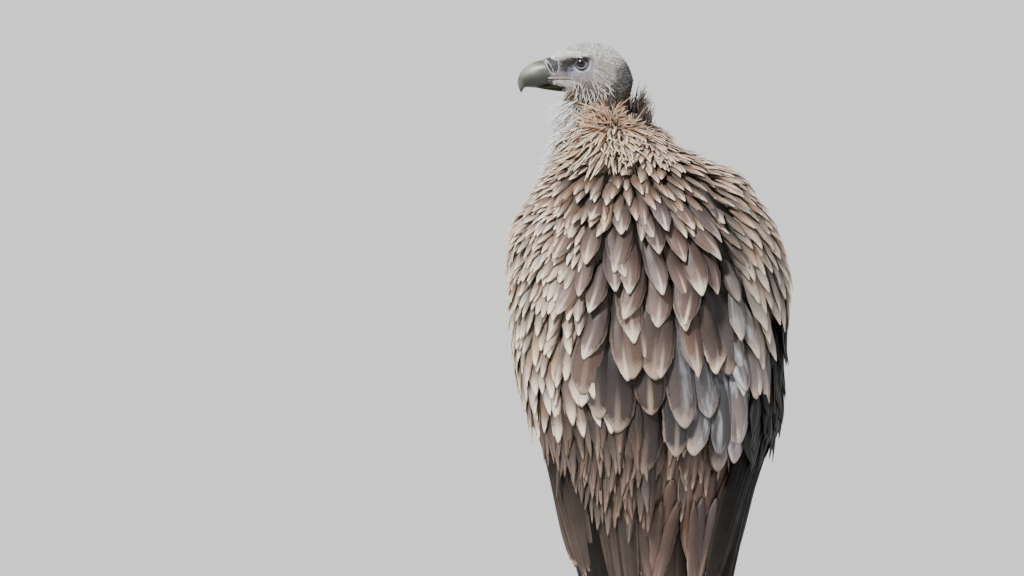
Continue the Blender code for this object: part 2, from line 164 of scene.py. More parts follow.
@dataclass
class Body(Form):
    """The bird's outline with folded wings: u is minus the height, v the turn from the spine."""

    half_width: tuple = (
        (0.0, 0.078), (0.05, 0.090), (0.10, 0.104), (0.15, 0.118), (0.20, 0.131), (0.25, 0.143),
        (0.30, 0.158), (0.35, 0.175), (0.40, 0.190), (0.45, 0.199), (0.51, 0.204), (0.56, 0.202),
        (0.60, 0.194), (0.635, 0.180), (0.665, 0.162), (0.69, 0.140), (0.713, 0.114), (0.735, 0.086),
        (0.752, 0.060), (0.764, 0.040),
    )
    back: tuple = (
        (0.0, 0.037), (0.05, 0.047), (0.10, 0.059), (0.15, 0.074), (0.20, 0.091), (0.25, 0.107),
        (0.30, 0.122), (0.35, 0.134), (0.40, 0.142), (0.45, 0.146), (0.51, 0.146), (0.56, 0.143),
        (0.60, 0.137), (0.635, 0.128), (0.665, 0.116), (0.69, 0.102), (0.713, 0.086), (0.735, 0.068),
        (0.752, 0.050), (0.764, 0.036),
    )
    front: tuple = (
        (0.0, 0.044), (0.05, 0.054), (0.10, 0.066), (0.15, 0.080), (0.20, 0.098), (0.25, 0.114),
        (0.30, 0.130), (0.35, 0.141), (0.40, 0.150), (0.45, 0.157), (0.51, 0.162), (0.56, 0.162),
        (0.60, 0.156), (0.635, 0.146), (0.665, 0.132), (0.69, 0.116), (0.713, 0.098), (0.735, 0.076),
        (0.752, 0.056), (0.764, 0.040),
    )
    middle_x: tuple = (
        (0.0, 0.022), (0.15, 0.022), (0.20, 0.020), (0.25, 0.016), (0.30, 0.010), (0.35, 0.005),
        (0.45, 0.004), (0.56, 0.001), (0.635, 0.004), (0.69, 0.009), (0.713, 0.014), (0.735, 0.021),
        (0.764, 0.026),
    )
    middle_y: tuple = (
        (0.0, 0.095), (0.10, 0.086), (0.20, 0.071), (0.30, 0.052), (0.35, 0.040), (0.40, 0.028),
        (0.45, 0.018), (0.51, 0.008), (0.56, 0.0), (0.60, -0.008), (0.635, -0.016), (0.665, -0.024),
        (0.69, -0.033), (0.713, -0.043), (0.735, -0.053), (0.764, -0.064),
    )
    waist: float = 0.0  # below this height the belly rounds off to the vent
    vent: float = 0.215

    def wing_front(self, z: Array) -> Array:
        """The folded wing's front edge at a height, in degrees from the spine."""
        return curve(z, ((0, 88), (0.10, 94), (0.22, 106), (0.34, 122), (0.46, 138), (0.56, 150),
                         (0.63, 148), (0.70, 122)))

    def furrow(self, z: Array) -> Array:
        """Where the right wing's inner edge lies over the back, in degrees from the spine."""
        return curve(z, ((0.35, -2), (0.42, -6), (0.487, -10), (0.54, -11), (0.61, -15), (0.665, -24),
                         (0.70, -36), (0.73, -52)))

    def relief(self, z: Array, v: Array) -> Array:
        """How far the feathered surface swells or sinks, in metres: the wings stand off the
        back with a furrow between, and the wrists make a bump on each shoulder."""
        turn = np.degrees(np.arccos(np.clip(np.cos(v), -1, 1)))
        signed = turn * np.where(np.sin(v) < 0, -1, 1)
        on = ease(z, 0.32, 0.44) * ease(-z, -0.725, -0.69)
        right = self.furrow(z)
        parting = hump(signed, right - 6, 5.0) * -0.013 * on
        ridge = (hump(signed, right - 20, 10) * 0.0040 + hump(signed, right + 6, 7) * 0.005) * on
        left = hump(signed, 47, 7) * -0.0045 * on + hump(signed, 62, 10) * 0.002 * on
        wrist = hump(turn, 80, 24) * hump(z, 0.682, 0.018) * np.where(signed < 0, 0.009, 0.0)
        notch = (hump(signed, -78, 40) * hump(z, 0.723, 0.016) * -0.050
                 + hump(signed, -50, 9) * hump(z, 0.700, 0.014) * -0.010)
        edge = hump(turn, self.wing_front(z) - 5, 7) * 0.005 * on
        slim = (hump(signed, -76, 30) * hump(z, 0.43, 0.07) * -0.010
                + hump(signed, 104, 34) * (hump(z, 0.50, 0.10) * -0.008 + hump(z, 0.705, 0.026) * -0.020
                                           + hump(z, 0.668, 0.038) * -0.015))
        return parting + ridge + left + wrist + notch + edge + slim

    def point(self, u: Array, v: Array) -> Array:
        """Points on the outline."""
        z = -np.asarray(u, float)
        c, s = np.cos(v), np.sin(v)
        depth = np.where(c > 0, curve(z, self.back), curve(z, self.front))
        swell = 1 + self.relief(z, v) / TRUNK_RADIUS
        x = curve(z, self.half_width) * s * swell
        y = depth * c * swell
        mx, my = curve(z, self.middle_x), curve(z, self.middle_y)
        if self.waist:
            fall = np.clip((self.waist - z) / (self.waist - self.vent), 0, 1)
            keep = np.sqrt(np.maximum(1e-4, 1 - fall * fall))
            x = (x + mx - 0.012) * keep + 0.012 - mx
            y = (y + my - 0.050) * keep + 0.050 - my
        return np.stack((x + mx, y + my, z + 0 * x), -1) + SHIFT


@dataclass
class Neck(Form):
    """The neck from inside the head to inside the ruff: u is 0 at the head and 1 at the base."""

    radii: tuple = ((0.0, 0.032), (0.3, 0.041), (0.6, 0.048), (1.0, 0.054))
    facing: float = -1.0

    def point(self, u: Array, v: Array) -> Array:
        """Points on the neck's skin."""
        s = np.clip(np.asarray(u, float), -0.2, 1.3)[..., None]
        top, middle = in_head(-0.022, 0, -0.020), in_head(-0.009, 0, -0.072)
        base = np.array((0.034, -0.070, 0.690)) + SHIFT
        centre = top * (1 - s) ** 2 + middle * 2 * s * (1 - s) + base * s * s
        radius = curve(s[..., 0], self.radii)
        swing = HEAD_TURN * (1 - s[..., 0])
        x, y = radius * np.cos(v), 1.08 * radius * np.sin(v)
        turned = (np.cos(swing) * x - np.sin(swing) * y, np.sin(swing) * x + np.cos(swing) * y, 0 * x)
        return centre + np.stack(turned, -1)


@dataclass
class Ruff(Form):
    """The cone that the long collar feathers lie on: u is 0 at its upper rim and 1 at its foot."""

    radii: tuple = ((0.0, 0.044), (0.3, 0.053), (0.6, 0.066), (1.0, 0.086), (1.6, 0.108))
    facing: float = -1.0

    def point(self, u: Array, v: Array) -> Array:
        """Points on the collar."""
        s = np.asarray(u, float)
        upper, lower = np.array((0.038, -0.066, 0.778)), np.array((0.030, -0.060, 0.700))
        centre = upper + (lower - upper) * s[..., None] + SHIFT
        radius = curve(s, self.radii) * (1 - 0.12 * hump(np.cos(v + 0.35), 1.0, 0.22) * ease(s, 0.2, 0.8))
        tilt = 0.010 * np.sin(v) * (1 - 0.6 * s)
        return centre + np.stack((radius * np.cos(v), radius * np.sin(v), tilt), -1)


def in_head(forward: float, left: float, up: float) -> Array:
    """The point this far forward, left and up from the middle between the eyes."""
    return heads(np.array(forward), np.array(left), np.array(up))


def heads(forward: Array, left: Array, up: Array) -> Array:
    """As in_head, for arrays."""
    c, s = math.cos(HEAD_TURN), math.sin(HEAD_TURN)
    x, y = left, -forward
    turned = np.stack((c * x - s * y, s * x + c * y, up + 0 * x), -1)
    return turned + BETWEEN_EYES + SHIFT


def head_coordinates(points: Array) -> tuple[Array, Array, Array]:
    """How far forward, left and up from between the eyes each point is."""
    d = points - BETWEEN_EYES - SHIFT
    c, s = math.cos(HEAD_TURN), math.sin(HEAD_TURN)
    x, y = c * d[..., 0] + s * d[..., 1], -s * d[..., 0] + c * d[..., 1]
    return -y, x, d[..., 2]


def oval(turn: Array, power: float) -> tuple[Array, Array]:
    """A superellipse of unit size at these turns."""
    c, s = np.cos(turn), np.sin(turn)
    return np.sign(c) * np.abs(c) ** (2 / power), np.sign(s) * np.abs(s) ** (2 / power)


@dataclass
class Head(Form):
    """The skull's skin: u is 0 at the bill and 1 at the nape, v turns from the left over the crown."""

    top: tuple = (
        (0.0, -0.022), (0.05, -0.004), (0.15, 0.0128), (0.28, 0.0248), (0.42, 0.0300), (0.56, 0.0300),
        (0.68, 0.0280), (0.80, 0.0226), (0.90, 0.0156), (1.0, 0.0100),
    )
    bottom: tuple = (
        (0.0, -0.026), (0.05, -0.050), (0.18, -0.062), (0.34, -0.060), (0.50, -0.054), (0.62, -0.048),
        (0.74, -0.041), (0.86, -0.0375), (1.0, -0.035),
    )
    width: tuple = (
        (0.0, 0.004), (0.05, 0.020), (0.16, 0.0305), (0.32, 0.0345), (0.48, 0.0335), (0.60, 0.0295),
        (0.72, 0.0235), (0.84, 0.0185), (1.0, 0.0150),
    )
    back: float = -0.0680
    front: float = 0.0500
    depth: float = 0.0026  # of the down over the skin
    facing: float = -1.0

    def sculpt(self, forward: Array, side: Array, up: Array) -> Array:
        """How far the face swells from a plain skull, in metres: brow, eye socket, lore, cheek,
        lid folds and the pleated corner of the mouth."""
        reach = np.hypot(forward, up)
        socket = hump(forward, 0.0, 0.0115) * hump(up, -0.001, 0.0095) * -0.0046
        brow = hump(forward, 0.005, 0.018) * hump(up, 0.0094, 0.0030) * 0.0058
        lore = hump(forward, 0.024, 0.011) * hump(up, 0.0005, 0.0055) * -0.0042
        hollow = hump(forward, 0.027, 0.008) * hump(up, -0.009, 0.007) * -0.0022
        cheek = hump(forward, -0.012, 0.022) * hump(up, -0.026, 0.013) * 0.0030
        behind = ease(-forward, -0.004, 0.008)
        under = np.maximum(ease(-up, 0.0, 0.006), behind * ease(-up, -0.010, 0.0))
        folds = (hump(reach, 0.0113, 0.0008) * 0.0012 - hump(reach, 0.0096, 0.0008) * 0.0008
                 + hump(reach, 0.0140, 0.0010) * 0.0005) * under
        crease = (hump(up, -0.0222 - 0.10 * np.maximum(0.020 - forward, 0), 0.0011)
                  * ease(forward, 0.008, 0.018) * -0.0014)
        lip = (hump(up, -0.0203 - 0.10 * np.maximum(0.020 - forward, 0), 0.0011)
               * ease(forward, 0.008, 0.018) * 0.0013)
        corner = ease(forward, 0.006, 0.016) * hump(up, -0.0285, 0.0052)
        pleats = corner * (0.0012 + 0.0008 * np.sin(forward * 2600 + up * 900))
        mouth = hump(up, self.mouth(forward), 0.0012) * ease(forward, 0.004, 0.018) * -0.0024
        ear = hump(forward, -0.036, 0.0065) * hump(up, -0.020, 0.0075) * -0.0020
        wrinkle = (np.sin(forward * 1300 + 2.2 * np.sin(up * 700)) * 0.00016 * ease(forward, -0.02, 0.01)
                   * ease(-up, -0.004, 0.004))
        sides = ease(np.abs(side), 0.006, 0.014)
        swell = socket + brow + lore + hollow + cheek + folds
        swell = swell + crease + lip + pleats + mouth + ear + wrinkle
        return sides * swell

    @staticmethod
    def mouth(forward: Array) -> Array:
        """The height of the mouth's line at each place along the jaw."""
        return -0.0290 - 0.20 * np.clip(0.046 - forward, 0, 0.036)

    def point(self, u: Array, v: Array) -> Array:
        """Points on the head's skin."""
        share = 1 - np.clip(np.asarray(u, float), 0, 1)
        forward = self.back + (self.front - self.back) * share
        high, low = curve(share, self.top) - self.depth, curve(share, self.bottom) + self.depth
        across, rise = oval(v, 2.15)
        half = curve(share, self.width) - self.depth * 0.5
        up = (high + low) / 2 + (high - low) / 2 * rise
        side = half * across * (1 - 0.16 * np.maximum(rise, 0) ** 2)
        swell = self.sculpt(forward, side, up)
        reach = np.maximum(np.hypot(side, up + 0.012), 1e-4)
        return heads(forward, side * (1 + swell / reach), up + (up + 0.012) * swell / reach)


@dataclass
class Limb(Form):
    """A straight round limb: u is 0 at its start and 1 at its end."""

    start: tuple = (0.0, 0.0, 1.0)
    end: tuple = (0.0, 0.0, 0.0)
    radii: tuple = ((0.0, 0.05), (1.0, 0.05))

    def point(self, u: Array, v: Array) -> Array:
        """Points on the limb."""
        s = np.asarray(u, float)[..., None]
        start, end = np.array(self.start) + SHIFT, np.array(self.end) + SHIFT
        axis = unit(end - start)
        one = unit(np.cross(np.array((1.0, 0, 0)), axis))
        two = np.cross(axis, one)
        radius = curve(s[..., 0], self.radii)[..., None]
        ring = one * np.cos(v)[..., None] + two * np.sin(v)[..., None]
        return start + (end - start) * s + ring * radius


@dataclass
class TailPlate(Form):
    """The closed tail: u is minus the height, v runs from -1 at its right edge to 1 at its left."""

    outline: Body = field(default_factory=Body)

    def point(self, u: Array, v: Array) -> Array:
        """Points on the tail's upper side."""
        z = -np.asarray(u, float)
        fall = np.clip((0.35 - z) / 0.38, 0, 1)
        half = curve(z, self.outline.half_width) * 0.5 * (0.80 + 0.45 * fall)
        inset = 0.060 - 0.046 * fall
        back = curve(z, self.outline.back) * math.cos(math.radians(15)) - inset
        y = curve(z, self.outline.middle_y) + back + 0.012 * (1 - v * v) + 0.006
        return np.stack((curve(z, self.outline.middle_x) + half * v, y, z + 0 * v), -1) + SHIFT


# ------------------------------------------------------------------ finishes
class Web:
    """A short hand for wiring one material's nodes."""

    def __init__(self, name: str) -> None:
        """Starts a material of this name that holds a Principled shader."""
        self.material = bpy.data.materials.new(name)
        self.material.use_nodes = True
        self.tree = self.material.node_tree
        self.shader = self.tree.nodes["Principled BSDF"]

    def add(self, kind: str, **settings: object) -> bpy.types.Node:
        """A new node of this kind with its settings."""
        node = self.tree.nodes.new("ShaderNode" + kind)
        for key, value in settings.items():
            setattr(node, key, value)
        return node

    def feed(self, value: object, socket: bpy.types.NodeSocket) -> None:
        """Wires an output to a socket, or sets the socket to a plain value."""
        if isinstance(value, bpy.types.NodeSocket):
            self.tree.links.new(value, socket)
        elif isinstance(value, (tuple, list)) and len(value) == 3 and len(socket.default_value) == 4:
            socket.default_value = (*value, 1.0)
        else:
            socket.default_value = value

    def math(self, operation: str, *values: object) -> bpy.types.NodeSocket:
        """One mathematical step on up to three values."""
        node = self.add("Math", operation=operation)
        for value, socket in zip(values, node.inputs):
            self.feed(value, socket)
        return node.outputs[0]

    def ramp(self, value: object, low: float, high: float, start: float = 0.0,
             end: float = 1.0) -> bpy.types.NodeSocket:
        """A smooth step of value from low to high, given out as start to end."""
        node = self.add("MapRange", interpolation_type="SMOOTHSTEP")
        for item, socket in zip((value, low, high, start, end), node.inputs):
            self.feed(item, socket)
        return node.outputs[0]

    def mix(self, share: object, a: object, b: object, kind: str = "MIX") -> bpy.types.NodeSocket:
        """A mix of two colours."""
        node = self.add("Mix", data_type="RGBA", blend_type=kind)
        self.feed(share, node.inputs[0])
        self.feed(a, node.inputs[6])
        self.feed(b, node.inputs[7])
        return node.outputs[2]

    def times(self, a: object, b: object) -> bpy.types.NodeSocket:
        """The product of two values."""
        return self.math("MULTIPLY", a, b)

    def plus(self, a: object, b: object) -> bpy.types.NodeSocket:
        """The sum of two values."""
        return self.math("ADD", a, b)

    def minus(self, a: object, b: object) -> bpy.types.NodeSocket:
        """The first value less the second."""
        return self.math("SUBTRACT", a, b)

    def grey(self, value: object) -> bpy.types.NodeSocket:
        """A grey of this strength."""
        node = self.add("CombineColor")
        for socket in node.inputs:
            self.feed(value, socket)
        return node.outputs[0]

    def surface(self, name: str, value: object) -> None:
        """Feeds a value to one of the shader's sockets."""
        self.feed(value, self.shader.inputs[name])

    def tinted(self, colour: object, tint: object) -> bpy.types.NodeSocket:
        """A colour multiplied by a tint."""
        return self.mix(1.0, colour, tint, "MULTIPLY")

    def fix(self, settings: dict[str, float]) -> None:
        """Sets these sockets of the shader to plain values."""
        for name, value in settings.items():
            self.shader.inputs[name].default_value = value

    def noise(self, scale: float, detail: float = 3.0, vector: object = None,
              stretch: tuple = (1, 1, 1)) -> bpy.types.NodeSocket:
        """A noise value on the piece's own coordinates, or on a given vector."""
        if vector is None:
            vector = self.add("TexCoord").outputs["Object"]
        place = self.add("Mapping")
        self.feed(vector, place.inputs["Vector"])
        place.inputs["Scale"].default_value = stretch
        node = self.add("TexNoise")
        self.feed(place.outputs[0], node.inputs["Vector"])
        node.inputs["Scale"].default_value = scale
        node.inputs["Detail"].default_value = detail
        return node.outputs["Fac"]

    def bump(self, height: object, strength: float, distance: float,
             under: object = None) -> bpy.types.NodeSocket:
        """A bump from a height value."""
        node = self.add("Bump")
        node.inputs["Strength"].default_value = strength
        node.inputs["Distance"].default_value = distance
        self.feed(height, node.inputs["Height"])
        if under is not None:
            self.feed(under, node.inputs["Normal"])
        return node.outputs[0]

    def attribute(self, name: str) -> bpy.types.Node:
        """The node that reads one of the mesh's attributes."""
        return self.add("Attribute", attribute_name=name)


@dataclass(frozen=True)
class Plumage:
    """The finish of vaned feathers, whose tint and marks come from each feather."""

    name: str
    gloss: float = 0.52
    barbs: float = 46.0
    grain: float = 0.13
    sheen: float = 0.04
    shine: float = 0.30
    rim: float = 0.80  # where the pale rim starts, from the shaft to the edge
    wedge: float = 0.34  # how wide the pale streak opens at the tip
    root: float = 0.36  # how dark the hidden root is painted, with grey fluff and painted shade

    def make(self) -> bpy.types.Material:
        """Wires the material."""
        w = Web(self.name)
        uv = w.add("UVMap", uv_map="Vane").outputs[0]
        parts = w.add("SeparateXYZ")
        w.feed(uv, parts.inputs[0])
        along = parts.outputs["Y"]
        off = w.times(w.math("ABSOLUTE", w.minus(parts.outputs["X"], 0.5)), 2.0)
        tint, marks, fringes = w.attribute("Tint"), w.attribute("Marks"), w.attribute("Fringe")
        mark = w.add("SeparateColor")
        w.feed(marks.outputs["Color"], mark.inputs[0])
        # barbs run out and forward from the shaft
        swept = w.add("CombineXYZ")
        w.feed(w.times(off, 0.35), swept.inputs[0])
        w.feed(w.minus(along, w.times(off, 0.16)), swept.inputs[1])
        w.feed(mark.outputs["Blue"], swept.inputs[2])
        barb = w.noise(1.0, 4.0, swept.outputs[0], (3.0, self.barbs, 31.0))
        smudge = w.noise(38.0, 4.0)
        fleck = w.noise(420.0, 2.0)
        ground = w.mix(w.ramp(barb, 0.32, 0.68), w.tinted(tint.outputs["Color"], (0.91, 0.90, 0.89)),
                       w.tinted(tint.outputs["Color"], (1.06, 1.06, 1.06)))
        ground = w.mix(w.ramp(smudge, 0.36, 0.66, 0.0, 0.34), ground, w.tinted(ground, (0.66, 0.62, 0.60)))
        # pale fringe round the rim, wider and brighter at the tip
        rough_off = w.plus(off, w.times(w.minus(barb, 0.5), 0.20))
        fringe = w.times(w.ramp(rough_off, self.rim, 0.98), w.ramp(along, 0.25, 0.60, 0.0, 0.8))
        rough_tip = w.plus(along, w.times(w.minus(barb, 0.5), 0.10))
        tip = w.ramp(rough_tip, w.minus(1.0, marks.outputs["Alpha"]), 0.99)
        rim = w.times(w.math("MAXIMUM", fringe, tip), mark.outputs["Red"])
        coat = w.mix(rim, ground, fringes.outputs["Color"])
        # a pale streak opens along the shaft towards the tip
        wide = w.ramp(along, 0.30, 1.0, 0.05, self.wedge)
        streak = w.minus(1.0, w.ramp(off, 0.01, wide))
        streak = w.times(w.times(streak, w.ramp(along, 0.40, 0.95)), mark.outputs["Green"])
        coat = w.mix(streak, coat, fringes.outputs["Color"])
        shaft = w.minus(1.0, w.ramp(off, 0.015, 0.07))
        coat = w.mix(w.times(shaft, w.times(w.minus(1.0, streak), 0.42)), coat,
                     w.tinted(coat, (0.55, 0.50, 0.46)))
        # darker towards the root: grey fluff, and painted shade under the feather above
        root = w.ramp(along, 0.36, 0.95, self.root, 1.14)
        coat = w.tinted(coat, w.grey(root))
        coat = w.mix(w.ramp(fleck, 0.45, 0.75, 0.0, 0.20), coat, w.tinted(coat, (1.3, 1.27, 1.22)))
        # worn feathers are glossier, and carry a pale blue-grey painted sheen in streaks
        drawn = w.add("CombineXYZ")
        w.feed(parts.outputs["X"], drawn.inputs[0])
        w.feed(along, drawn.inputs[1])
        w.feed(mark.outputs["Blue"], drawn.inputs[2])
        splash = w.noise(1.0, 4.0, drawn.outputs[0], (3.0, 2.6, 23.0))
        wear_and_sheen = w.times(w.ramp(splash, 0.45, 0.72, 0.10, 0.85), fringes.outputs["Alpha"])
        coat = w.mix(wear_and_sheen, coat, (0.62, 0.65, 0.72))
        w.surface("Base Color", coat)
        rough = w.ramp(w.plus(barb, smudge), 0.7, 1.35, self.gloss - 0.09, self.gloss + 0.10)
        w.surface("Roughness", w.minus(rough, w.times(fringes.outputs["Alpha"], 0.22)))
        quill = w.times(shaft, 1.6)
        w.surface("Normal", w.bump(w.plus(barb, quill), self.grain, 0.0009))
        w.fix({"Sheen Weight": self.sheen, "Sheen Roughness": 0.5, "Specular IOR Level": self.shine})
        return w.material


@dataclass(frozen=True)
class Down:
    """The finish of short down and hair-like feathers."""

    name: str
    sheen: float = 0.5

    def make(self) -> bpy.types.Material:
        """Wires the material."""
        w = Web(self.name)
        parts = w.add("SeparateXYZ")
        w.feed(w.add("UVMap", uv_map="Vane").outputs[0], parts.inputs[0])
        tint = w.attribute("Tint").outputs["Color"]
        mottle = w.noise(150.0, 3.0)
        ground = w.mix(w.ramp(mottle, 0.35, 0.68, 0.0, 0.35), tint, w.tinted(tint, (0.78, 0.76, 0.76)))
        # painted shade: each tuft darker at its root and lighter at its tip
        light = w.ramp(parts.outputs["Y"], 0.0, 0.6, 0.78, 1.12)
        w.surface("Base Color", w.tinted(ground, w.grey(light)))
        w.surface("Roughness", w.ramp(mottle, 0.3, 0.7, 0.78, 0.92))
        w.surface("Normal", w.bump(w.noise(900.0, 2.0), 0.15, 0.0004))
        w.fix({"Sheen Weight": self.sheen, "Specular IOR Level": 0.25})
        return w.material


@dataclass(frozen=True)
class BareSkin:
    """The finish of the skin under the coat, of the face and of the scaly legs."""

    name: str
    pores: float = 620.0
    plates: float = 210.0

    def make(self) -> bpy.types.Material:
        """Wires the material."""
        w = Web(self.name)
        tint, marks = w.attribute("Tint").outputs["Color"], w.attribute("Marks").outputs["Color"]
        mark = w.add("SeparateColor")
        w.feed(marks, mark.inputs[0])
        scaly = mark.outputs["Red"]
        place = w.add("TexCoord").outputs["Object"]
        cells = w.add("TexVoronoi", feature="DISTANCE_TO_EDGE")
        w.feed(place, cells.inputs["Vector"])
        cells.inputs["Scale"].default_value = self.plates
        plate = w.ramp(cells.outputs["Distance"], 0.0, 0.22)
        pebble = w.add("TexVoronoi")
        w.feed(place, pebble.inputs["Vector"])
        pebble.inputs["Scale"].default_value = self.pores
        grain = w.minus(1.0, pebble.outputs["Distance"])
        blotch = w.noise(95.0, 4.0)
        fine = w.noise(700.0, 3.0)
        ground = w.mix(w.ramp(blotch, 0.35, 0.68, 0.0, 0.55), tint, w.tinted(tint, (0.62, 0.60, 0.62)))
        ground = w.mix(w.ramp(fine, 0.48, 0.72, 0.0, 0.40), ground, w.tinted(ground, (1.45, 1.42, 1.42)))
        cracks = w.times(w.minus(1.0, plate), scaly)
        ground = w.mix(w.times(cracks, 0.65), ground, w.tinted(ground, (0.35, 0.33, 0.31)))
        w.surface("Base Color", ground)
        w.surface("Roughness", w.ramp(blotch, 0.3, 0.7, 0.52, 0.72))
        leg = w.bump(w.times(plate, scaly), 0.55, 0.0012)
        smooth = w.minus(1.0, scaly)
        w.surface("Normal", w.bump(w.times(w.plus(grain, fine), smooth), 0.42, 0.0006, leg))
        w.fix({"Subsurface Weight": 0.04, "Specular IOR Level": 0.35})
        return w.material


@dataclass(frozen=True)
class Horn:
    """The finish of bill and claws, tinted by the mesh."""

    name: str
    gloss: float = 0.33
    streaks: float = 70.0
    coat: float = 0.08
    shine: float = 0.45

    def make(self) -> bpy.types.Material:
        """Wires the material."""
        w = Web(self.name)
        tint = w.attribute("Tint").outputs["Color"]
        cloud = w.noise(self.streaks, 4.0, None, (1.0, 1.0, 1.6))
        scratch = w.noise(520.0, 3.0, None, (1.0, 1.0, 0.25))
        ground = w.mix(w.ramp(cloud, 0.34, 0.70, 0.0, 0.55), tint, w.tinted(tint, (0.66, 0.64, 0.60)))
        ground = w.mix(w.ramp(scratch, 0.55, 0.75, 0.0, 0.30), ground, w.tinted(ground, (1.35, 1.33, 1.28)))
        w.surface("Base Color", ground)
        w.surface("Roughness", w.ramp(scratch, 0.3, 0.7, self.gloss - 0.06, self.gloss + 0.14))
        w.surface("Normal", w.bump(w.plus(scratch, cloud), 0.16, 0.0005))
        w.fix({"Coat Weight": self.coat, "Specular IOR Level": self.shine, "Coat Roughness": 0.3})
        return w.material


@dataclass(frozen=True)
class Wet:
    """The finish of the eye."""

    name: str

    def make(self) -> bpy.types.Material:
        """Wires the material."""
        w = Web(self.name)
        tint = w.attribute("Tint").outputs["Color"]
        fibres = w.noise(1500.0, 2.0)
        ground = w.mix(w.ramp(fibres, 0.4, 0.65, 0.0, 0.5), tint, w.tinted(tint, (1.8, 1.6, 1.5)))
        w.surface("Base Color", ground)
        w.fix({"Roughness": 0.05, "Coat Weight": 0.6, "Coat Roughness": 0.02, "Specular IOR Level": 0.2})
        return w.material


# ------------------------------------------------------------------ meshes
def put(name: str, data: bpy.types.ID) -> bpy.types.Object:
    """Puts data in the scene as an object.

    Args:
        name: the object's name.
        data: its mesh, light or camera.

    Returns:
        The object.
    """
    obj = bpy.data.objects.new(name, data)
    bpy.context.scene.collection.objects.link(obj)
    return obj


def finish_piece(mesh: bpy.types.Mesh, name: str, material: bpy.types.Material,
                 stands_for: Sequence[str]) -> bpy.types.Object:
    """Puts a mesh in the scene as a piece of the bird.

    Args:
        mesh: the finished mesh, with its place in its vertices.
        name: the piece's name.
        material: its finish.
        stands_for: the solid nodes that it replaces.

    Returns:
        The piece.
    """
    obj = put(name, mesh)
    mesh.materials.clear()
    mesh.materials.append(material)
    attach(obj, "root")
    if stands_for:
        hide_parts(*stands_for)
    LOG.info("%s: %d faces", name, len(mesh.polygons))
    return obj


def paint(mesh: bpy.types.Mesh, name: str, rows: Array) -> None:
    """Stores one colour for each vertex, from rows of three or four values."""
    if rows.shape[1] == 3:
        rows = np.concatenate((rows, np.ones((len(rows), 1))), 1)
    layer = mesh.attributes.new(name, "FLOAT_COLOR", "POINT")
    layer.data.foreach_set("color", np.ascontiguousarray(rows, np.float32).ravel())


def places(mesh: bpy.types.Mesh) -> Array:
    """The mesh's vertices as rows."""
    rows = np.empty(len(mesh.vertices) * 3, np.float32)
    mesh.vertices.foreach_get("co", rows)
    return rows.reshape(-1, 3).astype(float)


def globe(around: int, along: int, place: Callable[[Array, Array], Array]) -> bmesh.types.BMesh:
    """A closed skin shaped from a ball.

    Args:
        around: faces round it.
        along: faces from pole to pole.
        place: gives the points for shares from the first pole to the last and turns round.

    Returns:
        The new mesh, facing outwards.
    """
    bm = bmesh.new()
    bmesh.ops.create_uvsphere(bm, u_segments=around, v_segments=along, radius=1.0)
    rows = np.array([v.co[:] for v in bm.verts])
    share = np.arccos(np.clip(rows[:, 2], -1, 1)) / math.pi
    spots = place(share, np.arctan2(rows[:, 1], rows[:, 0]))
    for vert, spot in zip(bm.verts, spots):
        vert.co = spot
    for pole in (v for v in bm.verts if len(v.link_faces) == around):
        ring = [edge.other_vert(pole).co for edge in pole.link_edges]
        pole.co = sum(ring, Vector()) / len(ring)
    bm.normal_update()
    if bm.calc_volume(signed=True) < 0:
        bmesh.ops.reverse_faces(bm, faces=bm.faces)
    return bm


def to_mesh(bm: bmesh.types.BMesh, name: str) -> bpy.types.Mesh:
    """Turns a bmesh into a smooth mesh and frees it."""
    mesh = bpy.data.meshes.new(name)
    bm.to_mesh(mesh)
    bm.free()
    mesh.shade_smooth()
    return mesh


def joined(parts: Sequence[bmesh.types.BMesh], name: str) -> bpy.types.Mesh:
    """Several shapes that don't touch, as one mesh."""
    whole = bmesh.new()
    for part in parts:
        scrap = to_mesh(part, "scrap")
        whole.from_mesh(scrap)
        bpy.data.meshes.remove(scrap)
    return to_mesh(whole, name)


class TipShape(Enum):
    """How a feather's vane ends."""

    ROUND = "round"
    BLUNT = "blunt"
    POINT = "point"
    LANCE = "lance"
    HAIR = "hair"


BLADES = {  # half width along each kind of blade, as a share of its greatest
    TipShape.ROUND: ((0, 0.34), (0.2, 0.72), (0.48, 1.0), (0.70, 0.93), (0.86, 0.67), (0.95, 0.38),
                     (1.0, 0.13)),
    TipShape.BLUNT: ((0, 0.36), (0.2, 0.80), (0.5, 1.0), (0.78, 0.97), (0.91, 0.78), (0.97, 0.54),
                     (1.0, 0.30)),
    TipShape.POINT: ((0, 0.40), (0.22, 0.82), (0.5, 1.0), (0.70, 0.86), (0.85, 0.54), (0.95, 0.24),
                     (1.0, 0.06)),
    TipShape.LANCE: ((0, 0.40), (0.25, 0.90), (0.45, 1.0), (0.75, 0.66), (0.92, 0.28), (1.0, 0.08)),
    TipShape.HAIR: ((0, 0.8), (0.3, 1.0), (0.7, 0.55), (1.0, 0.10)),
}
BLADE_THICK = 0.0003  # half a blade's thickness at its root, besides a share of its width
BLADE_SHARE = 0.012
QUILL_SHARE = 0.035  # how far the shaft stands out, as a share of the half width


